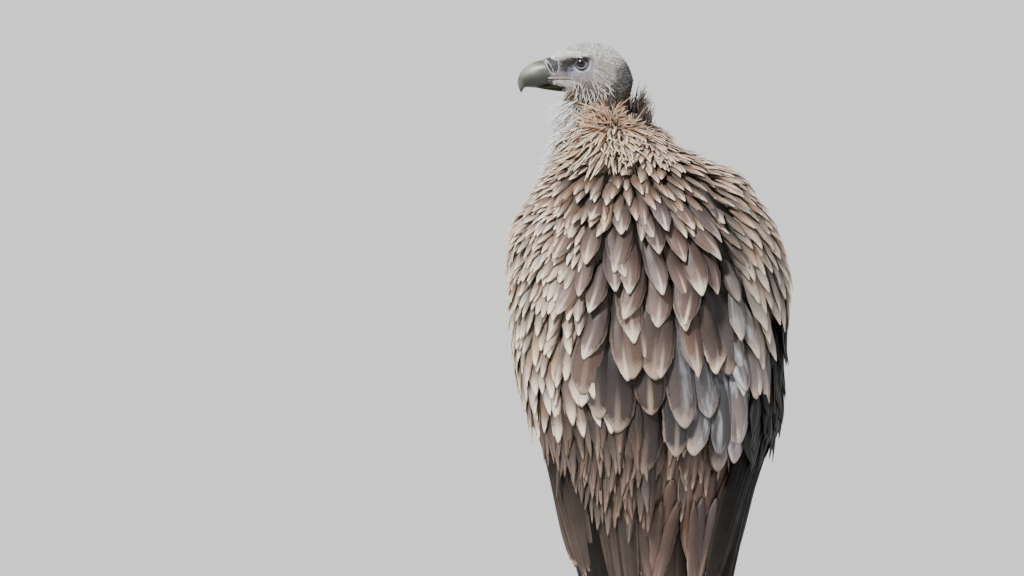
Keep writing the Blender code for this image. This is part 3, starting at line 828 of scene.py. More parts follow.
@dataclass
class Vane:
    """One feather as a closed lens-shaped blade on a grid: lengthwise and crosswise shares."""

    lengthwise: int = 8
    crosswise: int = 4
    shape: TipShape = TipShape.ROUND
    frayed: float = 0.06
    tent: float = 0.24  # how high the shaft stands over the rims, as a share of the half width

    def __post_init__(self) -> None:
        """Builds the blade once from a grid and its mirrored underside."""
        bm = bmesh.new()
        bmesh.ops.create_grid(bm, x_segments=self.lengthwise, y_segments=self.crosswise, size=1.0)
        for vert in bm.verts:
            vert.co.z = 0.0 if vert.is_boundary else 1.0
        copy = bmesh.ops.duplicate(bm, geom=bm.verts[:] + bm.edges[:] + bm.faces[:])["geom"]
        for item in copy:
            if isinstance(item, bmesh.types.BMVert):
                item.co.z *= -1
        bmesh.ops.reverse_faces(bm, faces=[f for f in copy if isinstance(f, bmesh.types.BMFace)])
        bmesh.ops.remove_doubles(bm, verts=bm.verts, dist=1e-4)
        bm.verts.index_update()
        rows = np.array([v.co[:] for v in bm.verts])
        self.row = np.rint((rows[:, 0] + 1) / 2 * self.lengthwise).astype(int)
        self.off, self.side = rows[:, 1], rows[:, 2]
        self.faces = np.array([[v.index for v in f.verts] for f in bm.faces])
        bm.free()
        even = np.linspace(0, 1, self.lengthwise + 1)
        self.stations = 1 - (1 - even) ** 1.35
        self.along = self.stations[self.row]

    def half(self) -> Array:
        """The blade's half width at each station, as a share of its greatest."""
        return curve(self.stations, BLADES[self.shape])


@dataclass
class Roots:
    """Where feathers of one kind grow, and how each lies. Every field is an array of equal length."""

    u: Array
    v: Array
    lean: Array  # turn from the form's own lie, in radians
    length: Array
    width: Array  # greatest half width
    low: Array  # how far the root stands off the form
    high: Array  # how far the tip stands off the form
    tint: Array  # rows of colour
    marks: Array  # rows: pale rim, pale streak, chance, how far the pale tip reaches in
    fringe: Array  # rows: the colour of rim, tip and streak, and the share of painted sheen on worn feathers
    roll: Array
    curl: Array
    bend: Array

    def __len__(self) -> int:
        """How many feathers."""
        return len(self.u)


def scatter(form: Form, chance: np.random.Generator, first: float, last: float,
            step: Callable[[float], float], sides: Callable[[float], tuple[float, float]],
            spacing: Callable[[float], float], jitter: float = 0.22) -> tuple[Array, Array]:
    """Staggered rows of roots over part of a form.

    Args:
        form: the surface.
        chance: the source of chance.
        first: u of the first row.
        last: u of the last row.
        step: the distance in metres from the row at a u to the next.
        sides: the range of v at a u.
        spacing: the distance in metres between neighbours at a u.
        jitter: how far roots stray, as a share of the spacing.

    Returns:
        The roots' u and v.
    """
    us, vs, u, row = [], [], first, 0
    while u < last:
        low, high = sides(u)
        middle = np.array([(low + high) / 2])
        lu, _, _ = form.tangents(np.array([u]), middle)
        samples = np.linspace(low, high, 24)
        _, lv, _ = form.tangents(np.full(24, u), samples)
        reach = float(np.mean(lv)) * (high - low)
        count = max(1, int(reach / spacing(u)))
        share = (np.arange(count) + 0.25 + 0.5 * (row % 2) + chance.uniform(-jitter, jitter, count)) / count
        # even spacing along the surface, not along v
        walked = np.concatenate(([0], np.cumsum((lv[1:] + lv[:-1]) / 2)))
        vs.append(np.interp(share * walked[-1], walked, samples))
        us.append(u + chance.uniform(-jitter, jitter, count) * step(u) / float(lu[0]))
        u += step(u) / float(lu[0])
        row += 1
    return np.concatenate(us), np.concatenate(vs)


def draws(chance: np.random.Generator, pairs: Sequence[tuple], n: int) -> Array:
    """Rows of even chances.

    Args:
        chance: the source of chance.
        pairs: the limits of each column.
        n: how many rows.

    Returns:
        The rows.
    """
    return np.stack([chance.uniform(*pair, n) for pair in pairs], 1)


def shade(chance: np.random.Generator, colour: Array, spread: float, warm: float = 0.0) -> Array:
    """Rows of one colour, or of many, each made a little lighter or darker and warmer or cooler."""
    n = len(colour)
    light = np.exp(chance.normal(0, spread, (n, 1)))
    heat = chance.normal(0, warm, (n, 1)) * np.array((1.0, 0.1, -1.0))
    return np.clip(colour * light * (1 + heat), DARKEST, LIGHTEST)


def grow(form: Form, roots: Roots, vane: Vane, name: str, chance: np.random.Generator) -> bpy.types.Mesh:
    """Makes all the feathers of one kind as one mesh that lies along the form.

    Args:
        form: the surface they lie on.
        roots: their places and lie.
        vane: the blade.
        name: the mesh's name.
        chance: the source of chance, for frayed rims.

    Returns:
        The mesh, with its maps, tints and marks.
    """
    n, stations, half = len(roots), vane.stations, vane.half()
    u, v = np.empty((len(stations), n)), np.empty((len(stations), n))
    heading = roots.lean + np.outer(stations, roots.bend)
    u[0], v[0] = roots.u, roots.v
    lengths_u, lengths_v, normals = [], [], []
    for k in range(len(stations)):
        lu, lv, normal = form.tangents(u[k], v[k])
        lengths_u.append(lu), lengths_v.append(lv), normals.append(normal)
        if k + 1 < len(stations):
            walk = (stations[k + 1] - stations[k]) * roots.length
            u[k + 1] = u[k] + walk * np.cos(heading[k]) / lu
            v[k + 1] = v[k] + walk * np.sin(heading[k]) / lv
    lu, lv, normals = np.array(lengths_u), np.array(lengths_v), np.array(normals)
    row, off, along = vane.row, vane.off, vane.along
    fray = 1 + chance.normal(0, vane.frayed, (n, len(row))) * (along > 0.3)
    across = off * half[row] * fray * roots.width[:, None]
    turn = heading[row].T
    back = -0.55 * (off**2) * half[row] * roots.width[:, None] * ease(along, 0.6, 1.0)
    back = back + chance.normal(0, vane.frayed * 0.35, (n, len(row))) * roots.width[:, None] * (along > 0.5)
    du = (back * np.cos(turn) - across * np.sin(turn)) / lu[row].T
    dv = (back * np.sin(turn) + across * np.cos(turn)) / lv[row].T
    spot = form.point(u[row].T + du, v[row].T + dv)
    camber = vane.tent * roots.width[:, None] * (1 - np.abs(off) ** 1.4) * half[row]
    thick = BLADE_THICK + BLADE_SHARE * roots.width[:, None]
    blade = vane.side * thick * (1 - 0.6 * along)
    quill = (np.where((np.abs(off) < 1e-6) & (vane.side > 0), QUILL_SHARE, 0.0) * roots.width[:, None]
             * (1 - 0.7 * along))
    lift = roots.low[:, None] + (roots.high - roots.low)[:, None] * along
    lift = lift + roots.roll[:, None] * across + roots.curl[:, None] * along**3 * roots.length[:, None]
    spot = spot + normals[row].transpose(1, 0, 2) * (lift + camber + blade + quill)[..., None]
    verts = spot.reshape(-1, 3)
    verts[:, 2] = np.maximum(verts[:, 2], FEATHER_GAP)
    faces = (vane.faces[None] + np.arange(n)[:, None, None] * len(row)).reshape(-1, 4)
    mesh = bpy.data.meshes.new(name)
    mesh.vertices.add(len(verts))
    mesh.vertices.foreach_set("co", verts.astype(np.float32).ravel())
    mesh.loops.add(faces.size)
    mesh.loops.foreach_set("vertex_index", faces.astype(np.int32).ravel())
    mesh.polygons.add(len(faces))
    mesh.polygons.foreach_set("loop_start", np.arange(0, faces.size, 4, dtype=np.int32))
    mesh.polygons.foreach_set("loop_total", np.full(len(faces), 4, np.int32))
    mesh.update(calc_edges=True)
    turned_in = (mesh.polygons[0].normal.dot(Vector(normals[row[vane.faces[0][0]], 0]))
                 * vane.side[vane.faces[0]].sum() < 0)
    if turned_in:
        mesh.flip_normals()
        faces = np.empty(len(faces) * 4, np.int32)
        mesh.loops.foreach_get("vertex_index", faces)
        faces = faces.reshape(-1, 4)
    mesh.shade_smooth()
    corner = faces.ravel()
    which, part = corner // len(row), corner % len(row)
    local = np.stack((off[part] * 0.5 + 0.5, along[part]), 1)
    add_map(mesh, "Vane", local)
    add_map(mesh, "OFBake", bake_cells(roots, which, local))
    paint(mesh, "Tint", np.repeat(roots.tint, len(row), 0))
    paint(mesh, "Marks", np.repeat(roots.marks, len(row), 0))
    paint(mesh, "Fringe", np.repeat(roots.fringe, len(row), 0))
    return mesh


def add_map(mesh: bpy.types.Mesh, name: str, rows: Array) -> None:
    """Adds a UV map from one row for each face corner."""
    layer = mesh.uv_layers.new(name=name)
    layer.data.foreach_set("uv", np.ascontiguousarray(rows, np.float32).ravel())


def bake_cells(roots: Roots, which: Array, local: Array) -> Array:
    """Where each feather's corners lie on the bake map.

    Args:
        roots: the feathers.
        which: the feather of each corner.
        local: each corner's place on its own feather.

    Returns:
        One row for each corner.
    """
    n = len(roots)
    columns = max(1, math.ceil(math.sqrt(2 * n)))
    lines = math.ceil(n / columns)
    order = np.argsort(roots.u, kind="stable")
    cell = np.empty((n, 2))
    for line in range(lines):
        members = order[line * columns : (line + 1) * columns]
        members = members[np.argsort(roots.v[members], kind="stable")]
        cell[members] = np.stack((np.arange(len(members)), np.full(len(members), line)), 1)
    size = np.array((1 / columns, 1 / lines))
    return (cell[which] + 0.06 + 0.88 * local) * size


# ------------------------------------------------------------------ markings
def face_tint(points: Array) -> Array:
    """The colour of head and neck at each point, the same for the skin and the down on it, with painted shade
    under the brow, in the crease round the eye, behind the bill, below the mouth and over the nape.
    """
    forward, _, up = head_coordinates(points)
    reach = np.hypot(forward, up)
    tint = np.tile((0.200, 0.165, 0.148), (len(points), 1))
    pale = ease(-forward, 0.008, 0.026) * ease(up, -0.046, -0.016)
    crown = ease(up + 0.10 * np.clip(forward - 0.012, 0, 0.03) + 0.35 * np.clip(-forward - 0.012, 0, 0.04),
                 0.0060, 0.0125)
    # painted shade over the back of the head and nape
    nape = ease(-forward - 0.35 * up, 0.038, 0.062)
    lilac = np.clip(1.35 * hump(forward, 0.003, 0.021) * hump(up, -0.0095, 0.0105), 0, 1)
    jaw = ease(-up, 0.036, 0.044) * ease(-forward, -0.034, -0.014) * ease(-up, -0.075, -0.060)
    corner = (ease(forward, 0.004, 0.014) * ease(-up, 0.0205, 0.0225)
              * (1 - ease(-up - 0.20 * np.clip(0.046 - forward, 0, 0.036), 0.0275, 0.0300)))
    lip = hump(up, -0.0203 - 0.10 * np.maximum(0.020 - forward, 0), 0.0008) * ease(forward, 0.010, 0.018)
    # painted shadow on the skin behind the bill's lower rear edge
    bill_shadow = ease(forward + 0.5 * up, 0.0270, 0.0320) * ease(-up, 0.0205, 0.0235)
    # painted shade below the mouth's line
    chin = ease(forward, 0.006, 0.020) * ease(-up - 0.20 * np.clip(0.046 - forward, 0, 0.036), 0.0285, 0.0305)
    band = 0.0062 - 0.26 * np.clip(forward + 0.004, 0, 0.03)
    lore = (ease(forward, -0.014, -0.006) * ease(-forward, -0.034, -0.024) * hump(up, band, 0.0044)
            + hump(forward, 0.0245, 0.004) * hump(up, -0.008, 0.0065) * 0.6)
    speck = hump(forward, 0.0235, 0.003) * hump(up, -0.0015, 0.002)
    # painted shadow of the brow ridge, a dark band over the eye
    brow = hump(forward, 0.004, 0.0155) * hump(up, 0.0066, 0.0030)
    below = np.maximum(ease(-up, 0.0, 0.006), ease(-forward, -0.004, 0.008) * ease(-up, -0.010, 0.0))
    edge = hump(forward, 0.0352, 0.0011) * ease(up, -0.016, -0.012)
    white = ease(forward, 0.002, 0.013) * ease(-up, 0.046, 0.058)
    dim = ease(-up, 0.050, 0.062) * (1 - white)
    tint = layered(tint, ((0.300, 0.262, 0.238), pale),
                   ((0.97, 0.965, 0.90), crown),
                   ((0.050, 0.048, 0.040), nape),
                   ((0.215, 0.215, 0.275), lilac),
                   ((0.120, 0.078, 0.060), jaw * 0.75),
                   ((0.25, 0.215, 0.205), corner),
                   ((0.60, 0.58, 0.57), corner * hump(np.sin(forward * 2300 + up * 1300), 1.0, 0.6) * 0.9),
                   ((0.52, 0.50, 0.49), lip * 0.8),
                   ((0.040, 0.037, 0.034), bill_shadow * 0.85),
                   ((0.050, 0.036, 0.027), chin),
                   ((0.026, 0.025, 0.028), np.clip(lore * 1.5, 0, 1)),
                   ((0.22, 0.19, 0.12), speck * 0.7),
                   ((0.030, 0.030, 0.034), np.clip(brow * 1.5, 0, 1)),
                   # painted shade in the crease round the eye, below and behind it
                   ((0.050, 0.050, 0.068), np.clip(hump(reach, 0.0096, 0.0010), 0, 1) * below * 0.9),
                   ((0.56, 0.56, 0.60), hump(reach, 0.0114, 0.0008) * below),
                   ((0.50, 0.50, 0.50), edge * 0.7),
                   ((0.90, 0.89, 0.86), white),
                   ((0.105, 0.080, 0.070), dim * 0.85))
    mottle = 1 + 0.20 * wander(points, 0.007, 3) + 0.16 * wander(points, 0.0026, 4)
    return np.clip(tint * mottle[:, None], DARKEST, LIGHTEST)


# ------------------------------------------------------------------ the bird
@dataclass
class Skin:
    """The one skin under all the feathers: head, neck, trunk, legs and toes."""

    coat: float = 0.016
    toes: dict = field(default_factory=lambda: {  # turn outwards in degrees, length and half thickness
        "inner": (-30, 0.066, 0.0098),
        "middle": (2, 0.100, 0.0100),
        "outer": (34, 0.072, 0.0088),
        "hind": (176, 0.044, 0.0092),
    })
    foot_x: float = 0.072
    foot_y: float = -0.006

    def head(self) -> bmesh.types.BMesh:
        """The skull with its face."""
        form = Head()
        return globe(150, 170, form.point)

    def neck(self) -> bmesh.types.BMesh:
        """The neck."""
        form = Neck()
        return globe(72, 60, lambda s, turn: form.point(s * 1.1, turn))

    def trunk(self) -> bmesh.types.BMesh:
        """The body under wings and coat."""
        form, top, foot = Body(waist=0.375), 0.755, 0.225

        def place(s: Array, turn: Array) -> Array:
            u = -(top - (top - foot) * s)
            _, _, normal = form.tangents(u, turn)
            return form.point(u, turn) - normal * self.coat

        return globe(72, 60, place)

    def thigh(self, side: int) -> bmesh.types.BMesh:
        """The thigh's flesh."""
        limb = thigh_form(side, 0.012)
        return globe(28, 20, limb.point)

    def shank(self, side: int) -> bmesh.types.BMesh:
        """The scaly shank, with ringed scutes down its front."""
        start = np.array((side * self.foot_x, 0.006, 0.175)) + SHIFT
        end = np.array((side * self.foot_x, self.foot_y, -0.006)) + SHIFT

        def place(s: Array, turn: Array) -> Array:
            radius = curve(s, ((0, 0.011), (0.15, 0.0158), (0.5, 0.0120), (0.8, 0.0148), (0.93, 0.0185),
                               (1, 0.017)))
            rings = 0.00055 * np.abs(np.sin(s * 62)) ** 0.6 * ease(-np.sin(turn), -0.2, 0.5)
            close = np.sqrt(np.clip(1 - np.clip((s - 0.93) / 0.07, 0, 1) ** 2, 0, 1))
            radius = np.where(s <= 0, 0, (radius + rings) * close)
            spot = start + (end - start) * s[:, None]
            spot = spot + np.stack((radius * np.cos(turn), radius * np.sin(turn), 0 * s), 1)
            spot[:, 2] = np.maximum(spot[:, 2], LEG_GAP)
            return spot

        return globe(40, 90, place)

    def toe(self, side: int, which: str) -> bmesh.types.BMesh:
        """One toe with its joints, pads and scutes."""
        turn_out, length, thick = self.toes[which]
        angle = math.radians(turn_out)
        direction = np.array((side * math.sin(angle), -math.cos(angle), 0.0))
        across = np.cross(direction, (0, 0, 1.0))
        root = np.array((side * self.foot_x, self.foot_y, 0.0)) + SHIFT

        def place(s: Array, turn: Array) -> Array:
            swell = 1 + 0.08 * np.cos(6 * math.pi * s)
            size = thick * swell * (1 - 0.16 * s - 0.20 * s**3)
            centre = root + direction * (length * s + 0.001)[:, None]
            height = size * 0.92
            close = np.sqrt(np.clip(1 - (1 - np.clip(np.minimum(5 * s, 3.4 * (1 - s)), 0, 1)) ** 2, 0, 1))
            scutes = 1 + 0.055 * np.abs(np.sin(s * length * 900)) ** 0.5 * ease(np.sin(turn), 0.1, 0.7)
            size = size * close * scutes
            spot = centre + across * (np.cos(turn) * size)[:, None]
            spot[:, 2] = np.maximum(height + np.sin(turn) * size, TOE_GAP)
            return spot

        return globe(26, 56, place)

    def build(self) -> bpy.types.Object:
        """Joins the flesh into one closed skin and paints it.

        Returns:
            The skin piece.
        """
        stack = [self.head(), self.neck(), self.trunk()]
        for side in (1, -1):
            stack += [self.thigh(side), self.shank(side)]
            stack += [self.toe(side, which) for which in self.toes]
        whole = put("skin_work", to_mesh(stack[0], "skin_work"))
        for bm in stack[1:]:
            other = put("skin_add", to_mesh(bm, "skin_add"))
            step = whole.modifiers.new("join", "BOOLEAN")
            step.operation, step.object, step.solver = "UNION", other, "EXACT"
            graph = bpy.context.evaluated_depsgraph_get()
            merged = bpy.data.meshes.new_from_object(whole.evaluated_get(graph))
            whole.modifiers.clear()
            whole.data = merged
            bpy.data.objects.remove(other, do_unlink=True)
        mesh = whole.data
        bpy.data.objects.remove(whole, do_unlink=True)
        mesh.name = "skin"
        mesh.shade_smooth()
        spots = places(mesh)
        tint = face_tint(spots)
        body = ease(-spots[:, 2], -0.76, -0.72)
        tint = blend(tint, np.tile((0.17, 0.14, 0.12), (len(spots), 1)), body)
        leg = ease(-spots[:, 2], -0.185, -0.165)
        legs = np.tile((0.27, 0.275, 0.265), (len(spots), 1))
        tint = blend(tint, legs, leg)
        paint(mesh, "Tint", tint)
        paint(mesh, "Marks", np.stack((leg, 0 * leg, 0 * leg), 1))
        nodes = ["head", "neck", "ruff", "trunk"]
        for word in ("left", "right"):
            nodes += [f"thigh_{word}", f"shank_{word}"] + [f"toe_{word}_{t}" for t in self.toes]
        return finish_piece(mesh, "skin", BareSkin("bare_skin").make(), nodes)


def thigh_form(side: int, inset: float = 0.0) -> Limb:
    """The thigh's surface, set in from the feather tips by this much."""
    radii = ((0.0, 0.045), (0.25, 0.066), (0.5, 0.060), (0.75, 0.043), (1.0, 0.024))
    return Limb((side * 0.074, 0.030, 0.350), (side * 0.072, 0.004, 0.143),
                tuple((a, b - inset) for a, b in radii))


@dataclass
class Bill:
    """The hooked upper bill, the shallow lower bill and the cere with its nostrils."""

    culmen: tuple = (  # share along the bill, forward, up
        (0.0, 0.0575, 0.0050), (0.15, 0.0645, 0.0036), (0.3, 0.0712, 0.0010), (0.45, 0.0782, -0.0028),
        (0.6, 0.0850, -0.0085),
        (0.72, 0.0893, -0.0152), (0.82, 0.0916, -0.0235), (0.9, 0.0912, -0.0312), (1.0, 0.0872, -0.0412))
    edge: tuple = (
        (0.0, 0.0370, -0.0285), (0.15, 0.0455, -0.0315), (0.3, 0.0545, -0.0335), (0.45, 0.0635, -0.0341),
        (0.6, 0.0725, -0.0336),
        (0.72, 0.0785, -0.0333), (0.82, 0.0822, -0.0342), (0.9, 0.0842, -0.0368), (1.0, 0.0862, -0.0414))
    upper_half: tuple = ((0.0, 0.0146), (0.3, 0.0132), (0.6, 0.0106), (0.8, 0.0072), (0.9, 0.0048),
                         (1.0, 0.0014))
    nostril: tuple = (0.0460, -0.0062)  # forward and up of its middle
    slit: float = math.radians(31)  # how far it leans

    def section(self, share: Array, turn: Array, ends: tuple[float, float], top: Sequence, bottom: Sequence,
                half: Sequence, power: float = 2.2) -> tuple[Array, Array, Array]:
        """Head coordinates of points on a lofted part of the bill."""
        forward = ends[0] + (ends[1] - ends[0]) * share
        high, low = curve(share, top), curve(share, bottom)
        across, rise = oval(turn, power)
        up = (high + low) / 2 + (high - low) / 2 * rise
        side = curve(share, half) * across * (1 - 0.30 * np.maximum(rise, 0) ** 2)
        pole = (share <= 0) | (share >= 1)
        return forward, np.where(pole, 0, side), np.where(pole, (high + low) / 2, up)

    def upper(self) -> bmesh.types.BMesh:
        """The upper bill with its cutting edge drawn down into the hook."""

        def place(s: Array, turn: Array) -> Array:
            share = 1 - s
            above, below = [[curve(share, [(k[0], k[i]) for k in line]) for i in (1, 2)]
                            for line in (self.culmen, self.edge)]
            across, rise = oval(turn, 2.3)
            pole = (share <= 0) | (share >= 1)
            rise = np.where(pole, 0, rise)
            forward, up = [(a + b) / 2 + (a - b) / 2 * rise for a, b in zip(above, below)]
            forward = forward + 0.0012 * share
            side = curve(share, self.upper_half) * across * (1 - 0.34 * np.maximum(rise, 0) ** 2)
            groove = hump(up, -0.0235, 0.0014) * ease(-share, -0.75, -0.3) * 0.0006
            return heads(forward, np.where(pole, 0, side * (1 - groove / 0.012)), up)

        return globe(56, 72, place)

    def lower(self) -> bmesh.types.BMesh:
        """The lower bill, closed under the hook."""
        top = ((0.0, -0.0262), (0.5, -0.0300), (1.0, -0.0325))
        bottom = ((0.0, -0.0394), (0.4, -0.0378), (0.75, -0.0358), (1.0, -0.0338))
        half = ((0.0, 0.0132), (0.45, 0.0116), (0.8, 0.0092), (1.0, 0.0050))

        def place(s: Array, turn: Array) -> Array:
            return heads(*self.section(1 - s, turn, (0.0300, 0.0665), top, bottom, half, 2.0))

        return globe(44, 44, place)

    def cere(self) -> bmesh.types.BMesh:
        """The skin saddle at the bill's base. A slanting slit with a raised rim is sunk in each side."""
        top = ((0.0, 0.0112), (0.5, 0.0088), (1.0, 0.0052))
        bottom = ((0.0, -0.0225), (1.0, -0.0268))
        half = ((0.0, 0.0156), (0.5, 0.0158), (1.0, 0.0143))

        def place(s: Array, turn: Array) -> Array:
            forward, side, up = self.section(1 - s, turn, (0.0, 1.0), top, bottom, half)
            forward = 0.0352 + forward * (0.0140 + 0.0098 * oval(turn, 2.2)[1])
            reach = self.from_nostril(forward, up)
            dent = -0.0011 * ease(-reach, -1.05, -0.60) + 0.0011 * hump(reach, 1.6, 0.40)
            fold = 0.0005 * np.sin(forward * 1500 + up * 300) * hump(up, -0.010, 0.012)
            lip = 0.0007 * ease(1 - s, 0.86, 0.97)
            return heads(forward, side * (1 + (dent + fold + lip) / 0.0150), up)

        return globe(120, 90, place)

    def from_nostril(self, forward: Array, up: Array) -> Array:
        """How far each place lies from the nostril's middle, where 1 is the slit's edge."""
        x, y = forward - self.nostril[0], up - self.nostril[1]
        along = x * math.sin(self.slit) + y * math.cos(self.slit)
        across = x * math.cos(self.slit) - y * math.sin(self.slit)
        return np.hypot(along / 0.0076, across / 0.0014)

    def build(self, horn: bpy.types.Material, skin: bpy.types.Material) -> list[bpy.types.Object]:
        """Builds and dresses the three pieces."""
        pieces = []
        for name, bm, node in (("upper_bill_horn", self.upper(), "upper_bill"),
                               ("lower_bill_horn", self.lower(), "lower_bill")):
            mesh = to_mesh(bm, name)
            forward, _, up = head_coordinates(places(mesh))
            # horn: pale high on the hook, darkened towards the lower edge as painted shade, with a black tip
            tint = np.tile((0.115, 0.121, 0.094), (len(forward), 1))
            tint = layered(tint,
                           ((0.33, 0.345, 0.295), hump(forward, 0.082, 0.012) * ease(up, -0.024, -0.004)),
                           ((0.33, 0.32, 0.225), hump(forward, 0.071, 0.008) * hump(up, -0.006, 0.007) * 0.7),
                           ((0.026, 0.028, 0.022),
                            ease(-up - 0.20 * (forward - 0.055), 0.0070, 0.0225)
                            * ease(-forward, -0.0905, -0.080) * 0.96),
                           ((0.13, 0.14, 0.135), ease(-forward + 0.70 * up, -0.062, -0.056) * 0.6),
                           ((0.035, 0.034, 0.032), ease(-up, 0.0335, 0.0385) * ease(forward, 0.076, 0.082)))
            if node == "lower_bill":
                # the lower bill is dark olive-brown, painted darker still as the shade under the upper bill
                tint = np.tile((0.022, 0.019, 0.013), (len(forward), 1))
            paint(mesh, "Tint", tint)
            finish = Horn("dull_horn", 0.65, coat=0.0, shine=0.08).make() if node == "lower_bill" else horn
            pieces.append(finish_piece(mesh, name, finish, [node]))
        mesh = to_mesh(self.cere(), "cere_skin")
        forward, _, up = head_coordinates(places(mesh))
        reach = self.from_nostril(forward, up)
        tint = np.tile((0.055, 0.059, 0.070), (len(forward), 1))
        tint = layered(tint, ((0.145, 0.145, 0.145), ease(-up, 0.008, 0.018) * 0.8),
                       ((0.55, 0.55, 0.53), hump(reach, 1.55, 0.40) * 0.85),
                       ((0.004, 0.004, 0.004), ease(-reach, -1.15, -0.95)),
                       ((0.45, 0.45, 0.43), hump(forward - 0.60 * up, 0.0532, 0.0009) * 0.8))
        paint(mesh, "Tint", tint)
        paint(mesh, "Marks", tint * 0)
        pieces.append(finish_piece(mesh, "cere_skin", skin, ["cere"]))
        return pieces


@dataclass
class Eye:
    """An eyeball with its dark iris, and the lids round it."""

    side: int
    word: str
    radius: float = 0.0104
    out: float = 0.0212
    ahead: float = 0.0016

    def ball(self) -> bmesh.types.BMesh:
        """The ball, with the clear front bulging a little."""
        def place(s: Array, turn: Array) -> Array:
            polar = math.pi * s
            swell = 1 + 0.05 * hump(polar, 0.0, 0.55)
            r = self.radius * swell
            return heads(self.ahead + r * np.sin(polar) * np.cos(turn),
                         self.side * (self.out + r * np.cos(polar)), r * np.sin(polar) * np.sin(turn))

        return globe(40, 36, place)

    def lids(self) -> bmesh.types.BMesh:
        """Two bare lids as one ring of skin folds that is a little lower in front."""
        def ring(s: Array, turn: Array) -> Array:
            # s goes round the ring's tube, turn goes round the eye
            almond = 1 - np.where(np.sin(turn) > 0, 0.33, 0.13) * np.abs(np.sin(turn)) ** 1.4
            slope = math.radians(-7)
            tube = 2 * math.pi * s
            fold = 1 + 0.10 * np.sin(turn * 23) + 0.06 * np.sin(turn * 41 + 1)
            reach = (0.0073 + 0.0014 * np.cos(tube) * fold) * almond
            reach = reach + 0.0012 * np.maximum(0, np.cos(turn)) ** 6
            height = 0.0015 * np.sin(tube) * fold
            x, y = reach * np.cos(turn), reach * np.sin(turn)
            x, y = x * math.cos(slope) - y * math.sin(slope), x * math.sin(slope) + y * math.cos(slope)
            dome = np.sqrt(np.maximum(self.radius**2 - np.minimum(reach, 0.0090) ** 2, 1e-8))
            return heads(self.ahead + x, self.side * (self.out + dome * 0.86 + height + 0.0004), y)

        bm = bmesh.new()
        bmesh.ops.create_circle(bm, segments=18, radius=0.2,
                                matrix=Matrix.Translation((1, 0, 0)) @ Matrix.Rotation(math.pi / 2, 4, "X"))
        bmesh.ops.spin(bm, geom=bm.verts[:] + bm.edges[:], cent=(0, 0, 0), axis=(0, 0, 1), angle=2 * math.pi,
                       steps=120, use_merge=True)
        bmesh.ops.remove_doubles(bm, verts=bm.verts, dist=1e-5)
        rows = np.array([v.co[:] for v in bm.verts])
        turn = np.arctan2(rows[:, 1], rows[:, 0])
        share = np.arctan2(rows[:, 2], np.hypot(rows[:, 0], rows[:, 1]) - 1) / (2 * math.pi)
        for vert, spot in zip(bm.verts, ring(share, turn)):
            vert.co = spot
        bmesh.ops.recalc_face_normals(bm, faces=bm.faces)
        return bm

    def build(self, wet: bpy.types.Material, skin: bpy.types.Material) -> list[bpy.types.Object]:
        """Builds and dresses the eye and its lids."""
        mesh = to_mesh(self.ball(), f"eyeball_{self.word}")
        forward, side, up = head_coordinates(places(mesh))
        off = np.hypot(forward - self.ahead, up)
        front = side * self.side > self.out
        tint = np.tile((0.022, 0.013, 0.012), (len(off), 1))
        tint = layered(tint, ((0.002, 0.002, 0.002), ease(-off, -0.0044, -0.0036) * front),
                       ((0.012, 0.008, 0.006), ease(off, 0.0068, 0.0078)))
        paint(mesh, "Tint", tint)
        ball = finish_piece(mesh, f"eyeball_{self.word}", wet, [f"eye_{self.word}"])
        mesh = to_mesh(self.lids(), f"lids_{self.word}")
        forward, side, up = head_coordinates(places(mesh))
        off = np.hypot(forward - self.ahead, up * 1.1)
        # a pale lid, dark where it meets the ball and the face, with painted shade from the brow over its top
        # and front
        tint = np.tile((0.40, 0.40, 0.43), (len(off), 1))
        tint = layered(tint, ((0.03, 0.03, 0.034), ease(-off, -0.0066, -0.0060)),
                       ((0.05, 0.05, 0.06), ease(off, 0.0082, 0.0088)),
                       ((0.035, 0.034, 0.038),
                        np.maximum(ease(up, -0.0005, 0.0030), 0.85 * ease(forward, 0.0055, 0.0085))))
        paint(mesh, "Tint", tint)
        paint(mesh, "Marks", tint * 0)
        return [ball, finish_piece(mesh, f"lids_{self.word}", skin, [])]


